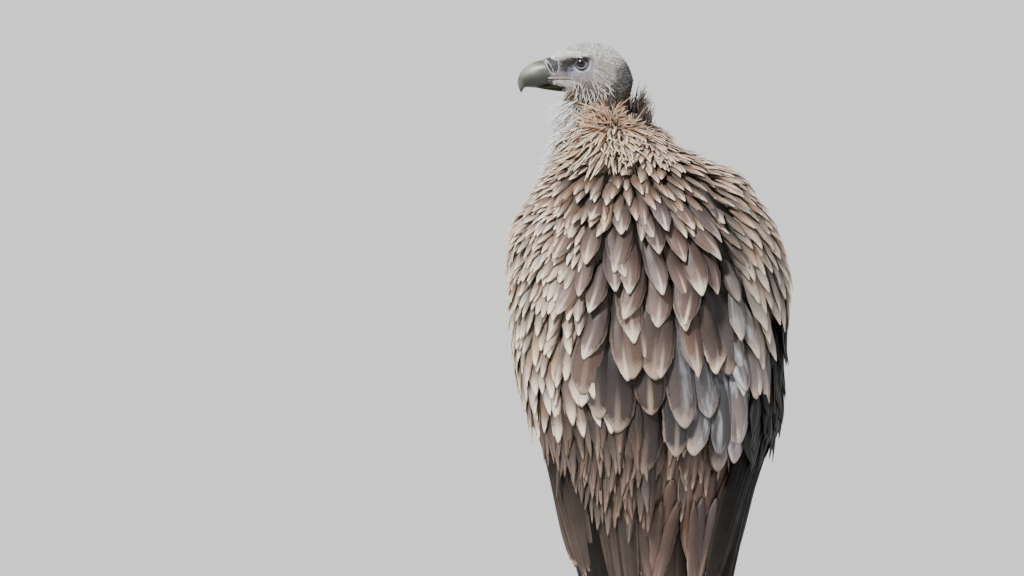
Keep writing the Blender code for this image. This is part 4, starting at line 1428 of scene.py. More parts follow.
@dataclass
class Claws:
    """The blunt claws of one foot."""

    side: int
    word: str
    inside: float = 0.010  # how far a claw starts inside its toe's end

    def claw(self, which: str) -> bmesh.types.BMesh:
        """One curved claw that starts inside the toe's end."""
        feet = Skin()
        turn_out, length, thick = feet.toes[which]
        angle = math.radians(turn_out)
        direction = np.array((self.side * math.sin(angle), -math.cos(angle), 0.0))
        across = np.cross(direction, (0, 0, 1.0))
        root = (np.array((self.side * feet.foot_x, feet.foot_y, 0.0)) + SHIFT
                + direction * (length - self.inside))
        reach = 0.044 if which == "hind" else 0.040
        bend = math.radians(62)
        arc = reach / bend

        def place(s: Array, turn: Array) -> Array:
            a = bend * s
            size = thick * 0.62 * (1 - 0.88 * s**1.3) * np.where((s <= 0) | (s >= 1), 0, 1)
            spot = (root + direction * (arc * np.sin(a))[:, None]
                    + across * (np.cos(turn) * size * 0.8)[:, None])
            rise = thick * 0.78 + 0.0035 - arc * (1 - np.cos(a)) * 0.62
            keel = np.where(np.sin(turn) < 0, 0.8, 1.0)
            spot[:, 2] = np.maximum(rise + np.sin(turn) * size * keel, LEG_GAP)
            return spot

        return globe(22, 26, place)

    def build(self, horn: bpy.types.Material) -> bpy.types.Object:
        """Builds and dresses the claws."""
        names = list(Skin().toes)
        mesh = joined([self.claw(which) for which in names], f"claws_{self.word}")
        spots = places(mesh)
        tint = np.tile((0.045, 0.043, 0.042), (len(spots), 1))
        tint = blend(tint, (0.16, 0.15, 0.135), ease(spots[:, 2], 0.008, 0.016) * 0.5)
        paint(mesh, "Tint", tint)
        return finish_piece(mesh, f"claws_{self.word}", horn,
                            [f"claw_{self.word}_{t}" for t in names])


Keyed = float | tuple


def keyed(keys: Keyed, u: Array) -> Array:
    """Reads a size that is one number or is keyed by u."""
    return curve(u, keys) if isinstance(keys, tuple) else np.full(np.shape(u), float(keys))


def colours(u: Array, keys: tuple) -> Array:
    """Rows of one colour, or of colours keyed by u."""
    if not isinstance(keys[0], tuple):
        return np.tile(np.array(keys, float), (len(u), 1))
    at = [k[0] for k in keys]
    return np.stack([np.interp(u, at, [k[1][c] for k in keys]) for c in range(3)], -1)


# ------------------------------------------------------------------ the coat
BUFF = (0.54, 0.385, 0.275)
FAWN = (0.30, 0.200, 0.145)
ROSE = (0.68, 0.475, 0.380)
UMBER = (0.180, 0.116, 0.094)
BISTRE = (0.085, 0.062, 0.048)
SOOT = (0.020, 0.017, 0.015)
RUST = (0.42, 0.225, 0.120)
IVORY = (0.88, 0.725, 0.580)
DUN = (0.46, 0.335, 0.255)


BURST_STEPS = (0.080, 0.050)  # metres to a step of u, and to a radian of v, round a rosette
BURST_REACH = 0.085  # how far out a rosette turns its feathers
BURST_CORE = 0.024  # how far its rusty middle spreads
BURST_SPLIT = 0.010  # within this much of its lower axis the turn fades out
TURN_LIMIT = 2.5  # the most that a rosette turns a feather, in radians
SIZES = ("right", "left", "step", "gap", "length", "half", "lean", "lean_left", "low", "high")


@dataclass
class Tract:
    """One tract of feathers in staggered rows. Sizes may be keyed by u, the way down the form, and a
    plain pair of sizes stands for those of the first and last row."""

    name: str
    form: Form
    vane: Vane
    first: float
    last: float
    right: Keyed  # the edge with the lower v, in degrees
    left: Keyed
    step: Keyed  # from row to row, in metres
    gap: Keyed  # between neighbours, in metres
    length: Keyed
    half: Keyed  # half the width
    tint: tuple
    fringe: tuple = IVORY
    lean: Keyed = 0.0  # at the right edge, in degrees
    lean_left: Keyed = 0.0
    low: Keyed = -0.009
    high: Keyed = 0.001
    rim: tuple = (0.5, 0.9)
    streak: tuple = (0.2, 0.7)
    reach: tuple = (0.12, 0.30)
    wear_and_sheen: tuple = ()  # spots of worn feathers with painted sheen: u, turn in degrees, and how far each spreads
    burst: tuple = ()  # u and turn of a point the feathers radiate from
    spread: float = 0.16
    unruly: float = 1.0
    slot: str = "covert"

    def __post_init__(self) -> None:
        """Keys each size that is a plain pair by the tract's first and last row."""
        for name in SIZES:
            pair = getattr(self, name)
            if isinstance(pair, tuple) and not isinstance(pair[0], tuple):
                setattr(self, name, tuple(zip((self.first, self.last), pair)))

    def plant(self, chance: np.random.Generator) -> Roots:
        """Sets out the roots.

        Args:
            chance: the source of chance.

        Returns:
            The roots with every feather's own size, lie and tint.
        """
        def sides(u: float) -> tuple[float, float]:
            return math.radians(float(keyed(self.right, u))), math.radians(float(keyed(self.left, u)))

        u, v = scatter(self.form, chance, self.first, self.last, lambda x: float(keyed(self.step, x)), sides,
                       lambda x: float(keyed(self.gap, x)))
        n, wild = len(u), self.unruly
        right, left = np.radians(keyed(self.right, u)), np.radians(keyed(self.left, u))
        share = np.clip((v - right) / np.maximum(left - right, 1e-6), 0, 1)
        lean = keyed(self.lean, u) * (1 - share) + keyed(self.lean_left, u) * share
        lean = np.radians(lean)
        if self.burst:
            du, dv = (u - self.burst[0]) * BURST_STEPS[0], (v - math.radians(self.burst[1])) * BURST_STEPS[1]
            near = np.exp(-(np.hypot(du, dv) / BURST_REACH) ** 2)
            # feathers point away from the middle, and lie in disorder close to it
            away = np.clip(np.arctan2(dv, du), -TURN_LIMIT, TURN_LIMIT)
            away = away * np.where(du < 0, 1.0, np.tanh(np.abs(dv) / BURST_SPLIT))
            disorder = chance.normal(0, 1, len(u)) * (0.40 * near**4 + 0.9 * near**40)
            lean = lean + (away + disorder) * near
        spots = self.form.point(u, v)
        lean = lean + 0.055 * wild * wander(spots, 0.016, 21)
        size = np.exp(chance.normal(0, 0.08 * wild, n) + 0.05 * wild * wander(spots, 0.012, 22))
        marks = draws(chance, (self.rim, self.streak, (0, 1), self.reach), n)
        # the share of painted sheen that each feather takes from the worn spots
        worn = np.zeros(n)
        for at, turn, tall, wide in self.wear_and_sheen:
            worn = np.maximum(worn, hump(u, at, tall) * hump(np.degrees(v), turn, wide))
        tint = shade(chance, colours(u, self.tint), self.spread, 0.06)
        edge = shade(chance, colours(u, self.fringe), 0.10, 0.03)
        if self.burst:
            inner = np.exp(-(np.hypot(du, dv) / BURST_CORE) ** 2)[:, None]
            tint = tint * (1 - inner) + shade(chance, np.tile(RUST, (n, 1)), 0.35, 0.05) * inner
            edge = edge * (1 - 0.55 * inner) + np.array(RUST) * 0.55 * inner
        if isinstance(self.form, Body):
            # painted shade: feathers beside the right wing's furrow are darkened, tints and rims alike
            gap = np.degrees(v) - self.form.furrow(-u)
            furrow_shade = (1 - 0.72 * hump(gap, -6, 5) * ease(-u, 0.36, 0.42) * ease(u, -0.70, -0.66))[:, None]
            tint, edge = tint * furrow_shade, edge * furrow_shade
        return Roots(
            u, v, lean + chance.normal(0, 0.085 * wild, n),
            keyed(self.length, u) * size, keyed(self.half, u) * np.exp(chance.normal(0, 0.09, n)),
            keyed(self.low, u) + chance.normal(0, 0.0005, n),
            keyed(self.high, u) + chance.normal(0, 0.0012 * wild, n)
            + 0.0009 * wild * wander(spots, 0.014, 23),
            tint, marks, np.concatenate((edge, worn[:, None]), 1),
            chance.normal(0, 0.10 * wild, n), chance.normal(0.004, 0.012 * wild, n),
            chance.normal(0, 0.09 * wild, n),
        )

    def build(self, finish: bpy.types.Material, stands_for: Sequence[str] = ()) -> bpy.types.Object:
        """Grows the tract as one piece."""
        chance = np.random.default_rng(sum(map(ord, self.name)))
        mesh = grow(self.form, self.plant(chance), self.vane, self.name, chance)
        return finish_piece(mesh, self.name, finish, list(stands_for))


@dataclass
class Coat:
    """Every feather on the body, wings and legs."""

    def left_wing(self) -> list[Tract]:
        """The left wing's coverts: narrow and pale, flowing out and down."""
        body, mid = Body(), Vane(10, 4, TipShape.ROUND)
        lance = Vane(8, 4, TipShape.LANCE, 0.10)
        return [
            Tract("greater_coverts_left", body, mid, first=-0.475, last=-0.418, right=(41, 34),
                  left=(142, 130), step=0.028, gap=0.0150, length=0.092, half=0.0110,
                  tint=(0.27, 0.19, 0.145), lean=6, lean_left=3, high=0.006, rim=(0.8, 1.0),
                  reach=(0.25, 0.5), spread=0.25),
            Tract("inner_rows_left", body, lance, first=-0.388, last=-0.290, right=(22, 16),
                  left=((-0.388, 84), (-0.335, 66), (-0.290, 44)), step=0.019, gap=0.0100, length=0.088,
                  half=0.0078, tint=((-0.388, (0.125, 0.086, 0.068)), (-0.290, (0.090, 0.062, 0.050))),
                  fringe=FAWN, lean=4, lean_left=3, low=-0.003, high=0.009, streak=(0.1, 0.7),
                  reach=(0.06, 0.20), spread=0.25, unruly=0.9),
            Tract("median_coverts_left", body, mid, first=-0.585, last=-0.455, right=(43, 40),
                  left=(152, 140), step=(0.0195, 0.028), gap=(0.0098, 0.0132), length=(0.048, 0.066),
                  half=(0.0066, 0.0088), tint=((-0.585, (0.60, 0.445, 0.33)), (-0.455, (0.50, 0.37, 0.275))),
                  fringe=(0.93, 0.80, 0.65), lean=(20, 9), lean_left=(18, 6), low=-0.008, high=0.005,
                  rim=(0.8, 1.0), streak=(0.5, 1.0), reach=(0.14, 0.34), spread=0.28, unruly=1.3),
            Tract("lesser_coverts_left", body, lance, first=-0.716, last=-0.568,
                  right=((-0.716, 30), (-0.702, 48), (-0.64, 42), (-0.568, 38)),
                  left=((-0.716, 118), (-0.64, 148), (-0.568, 152)),
                  step=((-0.715, 0.0105), (-0.568, 0.0170)), gap=((-0.715, 0.0074), (-0.568, 0.0088)),
                  length=((-0.715, 0.026), (-0.568, 0.042)), half=((-0.715, 0.0048), (-0.568, 0.0060)),
                  tint=((-0.715, ROSE), (-0.568, (0.62, 0.46, 0.34))), fringe=(0.93, 0.80, 0.65), lean=24,
                  lean_left=20, low=-0.007, high=0.004, rim=(0.7, 1.0), streak=(0.5, 1.0), reach=(0.16, 0.40),
                  spread=0.28, unruly=1.4),
        ]

    def right_wing(self) -> list[Tract]:
        """The right wing's coverts: broad, with dark gaps, worn near the back with a painted sheen there, and
        dark ones below painted nearly black as shade.
        """
        body, wide, mid = Body(), Vane(14, 6, TipShape.BLUNT, 0.03), Vane(10, 4, TipShape.ROUND, 0.04)
        # worn feathers that get a painted sheen
        worn = ((-0.49, -21, 0.06, 8), (-0.51, -47, 0.05, 7), (-0.44, -21, 0.04, 9))
        return [
            Tract("greater_coverts_right", body, wide, first=-0.500, last=-0.39,
                  right=((-0.50, -42), (-0.44, -33), (-0.39, -19)),
                  left=((-0.50, -14), (-0.43, -9), (-0.39, -6)), step=0.042, gap=0.026, length=(0.120, 0.140),
                  half=(0.0155, 0.0195),
                  tint=((-0.50, (0.19, 0.145, 0.120)), (-0.42, (0.12, 0.090, 0.080)),
                        (-0.39, (0.09, 0.068, 0.062))),
                  fringe=DUN, lean=-5, lean_left=-6, low=-0.010, high=0.004, rim=(0.6, 1.0),
                  reach=(0.08, 0.25), wear_and_sheen=worn, spread=0.2),
            Tract("median_coverts_right", body, mid, first=-0.610, last=-0.48,
                  right=((-0.61, -150), (-0.57, -120), (-0.545, -70), (-0.48, -40)), left=(-20, -15),
                  step=(0.030, 0.040), gap=(0.0185, 0.0240), length=(0.072, 0.100), half=(0.0108, 0.0142),
                  tint=(0.38, 0.305, 0.245), lean=-8, lean_left=-12, high=0.005, rim=(0.7, 1.0),
                  reach=(0.12, 0.35), wear_and_sheen=worn, spread=0.2),
            Tract("lesser_coverts_right", body, mid, first=-0.715, last=-0.592,
                  right=((-0.715, -118), (-0.64, -148), (-0.592, -152)),
                  left=((-0.715, -44), (-0.665, -28), (-0.592, -18)), step=(0.0150, 0.0260),
                  gap=(0.0110, 0.0165), length=(0.036, 0.062), half=(0.0066, 0.0096),
                  tint=((-0.715, ROSE), (-0.67, DUN), (-0.592, DUN)), lean=-10, lean_left=-18, low=-0.007,
                  high=(0.001, 0.005), rim=(0.7, 1.0), reach=(0.12, 0.35), spread=0.2),
            # dark feathers on the wing's far side, painted nearly black as the shade they lie in
            Tract("dark_coverts_right", body, mid, first=-0.515, last=-0.365, right=(-125, -112),
                  left=((-0.515, -62), (-0.47, -50), (-0.43, -40), (-0.39, -28), (-0.365, -24)), step=0.021,
                  gap=0.0105, length=0.080, half=0.0088, tint=(0.012, 0.011, 0.010),
                  fringe=(0.03, 0.026, 0.023), lean=-7, lean_left=-3, low=-0.003, high=0.008, rim=(0.1, 0.4),
                  streak=(0.0, 0.1), unruly=1.8),
        ]

    def back_tracts(self) -> list[Tract]:
        """The long and short scapulars, the mantle and its upper rows."""
        body = Body()
        large, mid = Vane(18, 6, TipShape.BLUNT, 0.022), Vane(14, 6, TipShape.ROUND, 0.028, 0.30)
        small, fine = Vane(10, 4, TipShape.POINT, 0.05, 0.30), Vane(8, 4, TipShape.LANCE, 0.08, 0.26)
        # worn feathers that get a painted sheen
        worn = ((-0.50, -3, 0.04, 8), (-0.45, -5, 0.03, 6))
        return [
            Tract("long_scapulars", body, large, first=-0.555, last=-0.40,
                  right=((-0.555, -13), (-0.47, -12), (-0.40, -8)),
                  left=((-0.555, 42), (-0.47, 38), (-0.40, 8)), step=0.060, gap=0.032, length=0.142,
                  half=0.0210,
                  tint=((-0.555, (0.095, 0.065, 0.053)), (-0.48, (0.046, 0.035, 0.033)),
                        (-0.40, (0.046, 0.035, 0.033))),
                  fringe=DUN, lean=-8, lean_left=10, low=-0.011, high=0.006, streak=(0.1, 0.7),
                  reach=(0.06, 0.22), wear_and_sheen=worn),
            Tract("scapulars", body, mid, first=-0.668, last=-0.51,
                  right=((-0.668, -21), (-0.61, -13), (-0.51, -8)), left=(48, 40), step=(0.034, 0.050),
                  gap=(0.0205, 0.0285), length=(0.076, 0.112), half=(0.0130, 0.0180),
                  tint=((-0.668, UMBER), (-0.51, UMBER)), lean=-13, lean_left=15, low=-0.010, high=0.009,
                  streak=(0.4, 1.0), reach=(0.10, 0.30), unruly=1.4),
            Tract("mantle", body, small, first=-0.728, last=-0.640,
                  right=((-0.728, -72), (-0.705, -40), (-0.665, -22), (-0.640, -17)),
                  left=((-0.728, -6), (-0.712, 8), (-0.696, 60), (-0.640, 46)), step=(0.0165, 0.0225),
                  gap=(0.0118, 0.0155), length=(0.044, 0.058), half=(0.0074, 0.0094),
                  tint=((-0.728, DUN), (-0.69, FAWN), (-0.640, FAWN)), lean=(-24, -14), lean_left=(28, 16),
                  low=-0.007, high=(0.004, 0.006), rim=(0.6, 1.0), streak=(0.5, 1.0), spread=0.22,
                  unruly=1.3),
            Tract("upper_mantle", body, fine, first=-0.772, last=-0.716,
                  right=((-0.772, -112), (-0.735, -84), (-0.716, -56)),
                  left=((-0.772, -12), (-0.745, -2), (-0.716, 14)), step=0.0078, gap=0.0060,
                  length=(0.032, 0.042), half=(0.0036, 0.0050), tint=((-0.772, ROSE), (-0.716, DUN)),
                  lean=-26, lean_left=34, low=-0.005, high=(0.004, 0.005), rim=(0.7, 1.0), streak=(0.6, 1.0),
                  reach=(0.14, 0.40), spread=0.22, unruly=1.7),
        ]

    def breast_tracts(self) -> list[Tract]:
        """The breast, belly and the trousers."""
        body = Body(waist=0.375)
        lance, small = Vane(7, 2, TipShape.LANCE), Vane(7, 2, TipShape.ROUND)
        front = ((-0.735, 100), (-0.70, 112), (-0.62, 138), (-0.50, 134), (-0.40, 120), (-0.33, 105),
                 (-0.29, 60), (-0.245, 0))
        other = tuple((u, 360 - a) for u, a in front)
        tracts = [
            Tract("belly", body, small, first=-0.42, last=-0.245, right=front, left=other, step=0.013,
                  gap=0.0115, length=0.042, half=0.0078, tint=((-0.42, BUFF), (-0.245, CREAM)), low=-0.012,
                  high=-0.001, slot="breast"),
            Tract("breast", body, lance, first=-0.748, last=-0.405, right=front, left=other, step=0.0135,
                  gap=0.0105, length=0.043, half=0.0068, tint=((-0.748, FAWN), (-0.405, BUFF)), low=-0.010,
                  high=0.0, streak=(0.6, 1.0), reach=(0.2, 0.5), slot="breast"),
        ]
        for side, word in ((1, "left"), (-1, "right")):
            tracts.append(
                Tract(f"trousers_{word}", thigh_form(side, 0.006), small, first=0.02, last=0.93, right=-180,
                      left=180, step=0.0125, gap=0.0100, length=((0.0, 0.044), (0.93, 0.026)),
                      half=((0.0, 0.0076), (0.93, 0.0052)), tint=((0, BUFF), (1, CREAM)), low=-0.004,
                      high=0.004, slot="breast"))
        return tracts

    def flight(self, side: int) -> list[bpy.types.Object]:
        """The secondaries and primaries of one folded wing, stacked towards the spine."""
        word = "left" if side > 0 else "right"
        body, vane = Body(), Vane(18, 6, TipShape.BLUNT, 0.03, 0.34)
        finish = Plumage(f"flight_{word}", gloss=0.50, barbs=120.0, grain=0.12, sheen=0.0, shine=0.10,
                         rim=0.72).make()
        # the right wing's secondaries are painted near black with dark rims as shade; the left's are brown
        # with pale rims
        dark = ((0.058, 0.043, 0.034), DUN) if side > 0 else (SOOT, BISTRE)
        pieces = []
        for name, count, root, tip, degrees, half, tints, heights in (
            ("primaries", 10, (0.335, 0.335), (0.012, 0.075), ((90, 52), (82, 50)), 0.0165, (SOOT, BISTRE),
             (-0.014, -0.008)),
            ("secondaries", 20, (0.405, 0.400), (0.150, 0.125), ((119, 33), (104, 28)), 0.0125, dark,
             (-0.010, -0.006)),
        ):
            chance = np.random.default_rng(len(name) + count * (2 + side))
            share = np.linspace(0, 1, count)
            start = degrees[0][0] + (degrees[0][1] - degrees[0][0]) * share
            end = degrees[1][0] + (degrees[1][1] - degrees[1][0]) * share
            z0 = np.interp(share, (0, 1), root)
            z1 = np.maximum(np.interp(share, (0, 1), tip) + chance.normal(0, 0.006, count), 0.008)
            drift = np.arctan2(np.radians(end - start) * 0.15, z0 - z1) * side
            edge = shade(chance, np.tile(tints[1], (count, 1)), 0.2, 0.05)
            roots = Roots(
                -z0, np.radians(start) * side, drift + chance.normal(0, 0.02, count), (z0 - z1) * 1.03,
                np.full(count, half),
                heights[0] + 0.010 * share, heights[1] + 0.010 * share + chance.normal(0, 0.0012, count),
                shade(chance, np.tile(tints[0], (count, 1)), 0.18, 0.05),
                draws(chance, ((0.6, 1.0), (0.0, 0.2), (0, 1), (0.03, 0.08)), count),
                np.concatenate((edge, np.zeros((count, 1))), 1),
                chance.normal(0.06 * side, 0.03, count), chance.normal(0, 0.003, count),
                chance.normal(0, 0.03, count),
            )
            mesh = grow(body, roots, vane, f"{name}_{word}", chance)
            pieces.append(finish_piece(mesh, f"{name}_{word}", finish, [f"wing_{word}_{name}"]))
        return pieces

    def tail(self) -> list[bpy.types.Object]:
        """The closed tail with its stiff worn feathers, the coverts over it and the tertials."""
        plate, vane = TailPlate(), Vane(20, 6, TipShape.BLUNT, 0.03, 0.18)
        chance = np.random.default_rng(41)
        count = 14
        order = np.linspace(-0.80, 0.80, count)
        centre = 1 - np.abs(order)
        edge = shade(chance, np.tile(DUN, (count, 1)), 0.2, 0.05)
        roots = Roots(
            np.full(count, -0.345), order * 0.9, order * 0.02 + chance.normal(0, 0.015, count),
            0.3405 + 0.006 * centre,
            np.full(count, 0.0205), 0.002 + 0.006 * centre,
            -0.006 + 0.007 * centre + chance.normal(0, 0.0006, count),
            shade(chance, np.tile(BISTRE, (count, 1)), 0.16, 0.05),
            draws(chance, ((0.3, 0.7), (0.1, 0.3), (0, 1), (0.02, 0.05)), count),
            np.concatenate((edge, np.zeros((count, 1))), 1),
            chance.normal(0, 0.05, count), chance.normal(0, 0.002, count), chance.normal(0, 0.03, count),
        )
        finish = Plumage("tail_vanes", gloss=0.55, barbs=110.0, grain=0.22, root=0.5).make()
        pieces = [finish_piece(grow(plate, roots, vane, "tail_feathers", chance), "tail_feathers", finish,
                               ["tail"])]
        wide, slim = Vane(14, 4, TipShape.ROUND), Vane(12, 4, TipShape.LANCE, 0.08)
        pieces.append(Tract("tail_coverts", plate, wide, first=-0.400, last=-0.25, right=-70, left=70,
                            step=0.030, gap=0.018, length=0.120, half=0.0130, tint=UMBER, fringe=DUN, lean=-4,
                            lean_left=4, low=0.030, high=0.013, rim=(0.4, 0.9),
                            reach=(0.05, 0.15)).build(finish))
        pieces.append(Tract("tertials", Body(), slim, first=-0.445, last=-0.33, right=-26, left=33,
                            step=0.034, gap=0.0165, length=0.120, half=0.0115,
                            tint=((-0.445, UMBER), (-0.33, BISTRE)), fringe=DUN, lean=-4, lean_left=6,
                            low=-0.018, high=-0.006, rim=(0.5, 1.0), streak=(0.1, 0.5),
                            reach=(0.06, 0.2)).build(finish))
        return pieces

    def build(self) -> list[bpy.types.Object]:
        """Builds and dresses every tract."""
        brown, plain = Plumage("brown_vanes").make(), Plumage("pale_vanes", gloss=0.72, root=0.52).make()
        pieces = self.tail()
        for side, word, tracts in ((1, "left", self.left_wing()), (-1, "right", self.right_wing())):
            pieces += self.flight(side)
            pieces += [tract.build(brown, [f"wing_{word}_coverts"]) for tract in tracts]
        pieces += [tract.build(plain if tract.name == "upper_mantle" else brown)
                   for tract in self.back_tracts()]
        pieces += [tract.build(plain) for tract in self.breast_tracts()]
        return pieces


@dataclass
class Collar:
    """The ruff, the white fluff and strands of throat and bib, and the dark spikes behind the neck."""

    def build(self, soft: bpy.types.Material) -> list[bpy.types.Object]:
        """Builds and dresses the collar's tracts, the fluff in this finish."""
        cone, neck = Ruff(), Neck()
        hair = Vane(7, 2, TipShape.HAIR)
        finish = Plumage("ruff_vanes", gloss=0.75, barbs=30.0, grain=0.2, sheen=0.2, root=0.62).make()
        fan = (0.42, 76.0)
        tracts = [
            Tract("ruff_long", cone, hair, first=0.50, last=1.10, right=22, left=262, step=0.0062, gap=0.0042,
                  length=0.048, half=0.0022, tint=(0.80, 0.55, 0.37), fringe=(0.97, 0.81, 0.60), low=-0.001,
                  high=0.010, rim=(0.8, 1.0), streak=(0.8, 1.0), reach=(0.4, 0.95), burst=fan, unruly=2.4,
                  spread=0.28, slot="ruff"),
            Tract("ruff_short", cone, hair, first=0.19, last=0.60, right=15,
                  left=((0.19, 84), (0.36, 98), (0.50, 150), (0.60, 256)), step=0.0046, gap=0.0034,
                  length=((0.19, 0.014), (0.3, 0.026), (0.60, 0.046)), half=0.0020,
                  tint=((0.12, (0.56, 0.34, 0.19)), (0.60, (0.73, 0.48, 0.29))), fringe=(0.95, 0.77, 0.54),
                  low=-0.002, high=((0.12, 0.004), (0.62, 0.010)), rim=(0.8, 1.0), streak=(0.1, 0.9),
                  reach=(0.25, 0.8), burst=fan, unruly=2.8, spread=0.3, slot="ruff"),
            Tract("ruff_skirt", Body(), hair, first=-0.756, last=-0.712, right=((-0.756, -6), (-0.718, 16)),
                  left=((-0.756, 80), (-0.718, 78)), step=0.0080, gap=0.0060, length=0.038, half=0.0029,
                  tint=(0.78, 0.52, 0.34), fringe=(0.98, 0.83, 0.63), lean=-4, lean_left=42, low=-0.001,
                  high=0.010, rim=(0.8, 1.0), streak=(0.8, 1.0), reach=(0.5, 0.95), unruly=2.2, spread=0.2,
                  slot="ruff"),
            Tract("nape_hair", cone, hair, first=0.06, last=0.45, right=118, left=232, step=0.0048,
                  gap=0.0036, length=0.028, half=0.0013, tint=((0.06, (0.040, 0.032, 0.030)), (0.45, UMBER)),
                  fringe=(0.16, 0.11, 0.085), lean=150, lean_left=200, low=0.0, high=0.018, unruly=3.0,
                  slot="ruff"),
            Tract("nape_spikes", cone, hair, first=0.08, last=0.45, right=112, left=178, step=0.013,
                  gap=0.0135, length=0.032, half=0.0016, tint=(0.34, 0.24, 0.17), lean=160, lean_left=196,
                  low=0.002, high=0.022, rim=(0.8, 1.0), unruly=3.0, slot="ruff"),
        ]
        fluff = [
            Tract("ruff_down", cone, Vane(4, 2, TipShape.HAIR), first=0.14, last=1.05, right=15,
                  left=((0.14, 86), (0.36, 100), (0.50, 150), (0.60, 260)), step=0.0036, gap=0.0030,
                  length=0.017, half=0.0009, tint=(0.62, 0.45, 0.31), fringe=CREAM, low=0.0, high=0.0075,
                  burst=fan, unruly=3.2, spread=0.3, slot="ruff"),
            Tract("front_fluff", cone, hair, first=0.10, last=1.05, right=-128, left=31, step=0.0042,
                  gap=0.0032, length=0.024, half=0.0014, tint=CHALK, fringe=CHALK, lean_left=10, low=0.0,
                  high=0.014, unruly=3.0, spread=0.08, slot="ruff"),
            Tract("bib_fluff", Body(), hair, first=-0.752, last=-0.706, right=(74, 92), left=(165, 138),
                  step=0.0046, gap=0.0036, length=0.026, half=0.0015, tint=CHALK, fringe=CHALK, lean_left=6,
                  low=0.0, high=0.013, unruly=3.0, spread=0.08, slot="ruff"),
            Tract("throat_fluff", neck, hair, first=0.34, last=1.04, right=(-125, -85), left=(-6, 26),
                  step=0.0030, gap=0.0024, length=0.017, half=0.00095, tint=CHALK, fringe=CHALK, lean=12,
                  lean_left=14, low=0.0, high=0.008, unruly=3.0, spread=0.08, slot="ruff"),
            Tract("throat_strands", neck, Vane(9, 2, TipShape.HAIR), first=0.06, last=0.24, right=-78,
                  left=36, step=0.0090, gap=0.0046, length=0.022, half=0.00060, tint=(0.72, 0.65, 0.53),
                  lean=34, lean_left=24, low=0.002, high=0.008, unruly=2.4, spread=0.15, slot="ruff"),
            Tract("throat_spikes", neck, hair, first=0.28, last=1.0, right=(-70, -50), left=(-8, 6),
                  step=0.0080, gap=0.0058, length=0.026, half=0.0014, tint=CHALK, fringe=CHALK, lean=-22,
                  lean_left=-10, low=0.001, high=0.023, unruly=3.0, spread=0.08, slot="ruff"),
        ]
        pieces = [tract.build(soft) for tract in fluff]
        return pieces + [tract.build(finish) for tract in tracts]


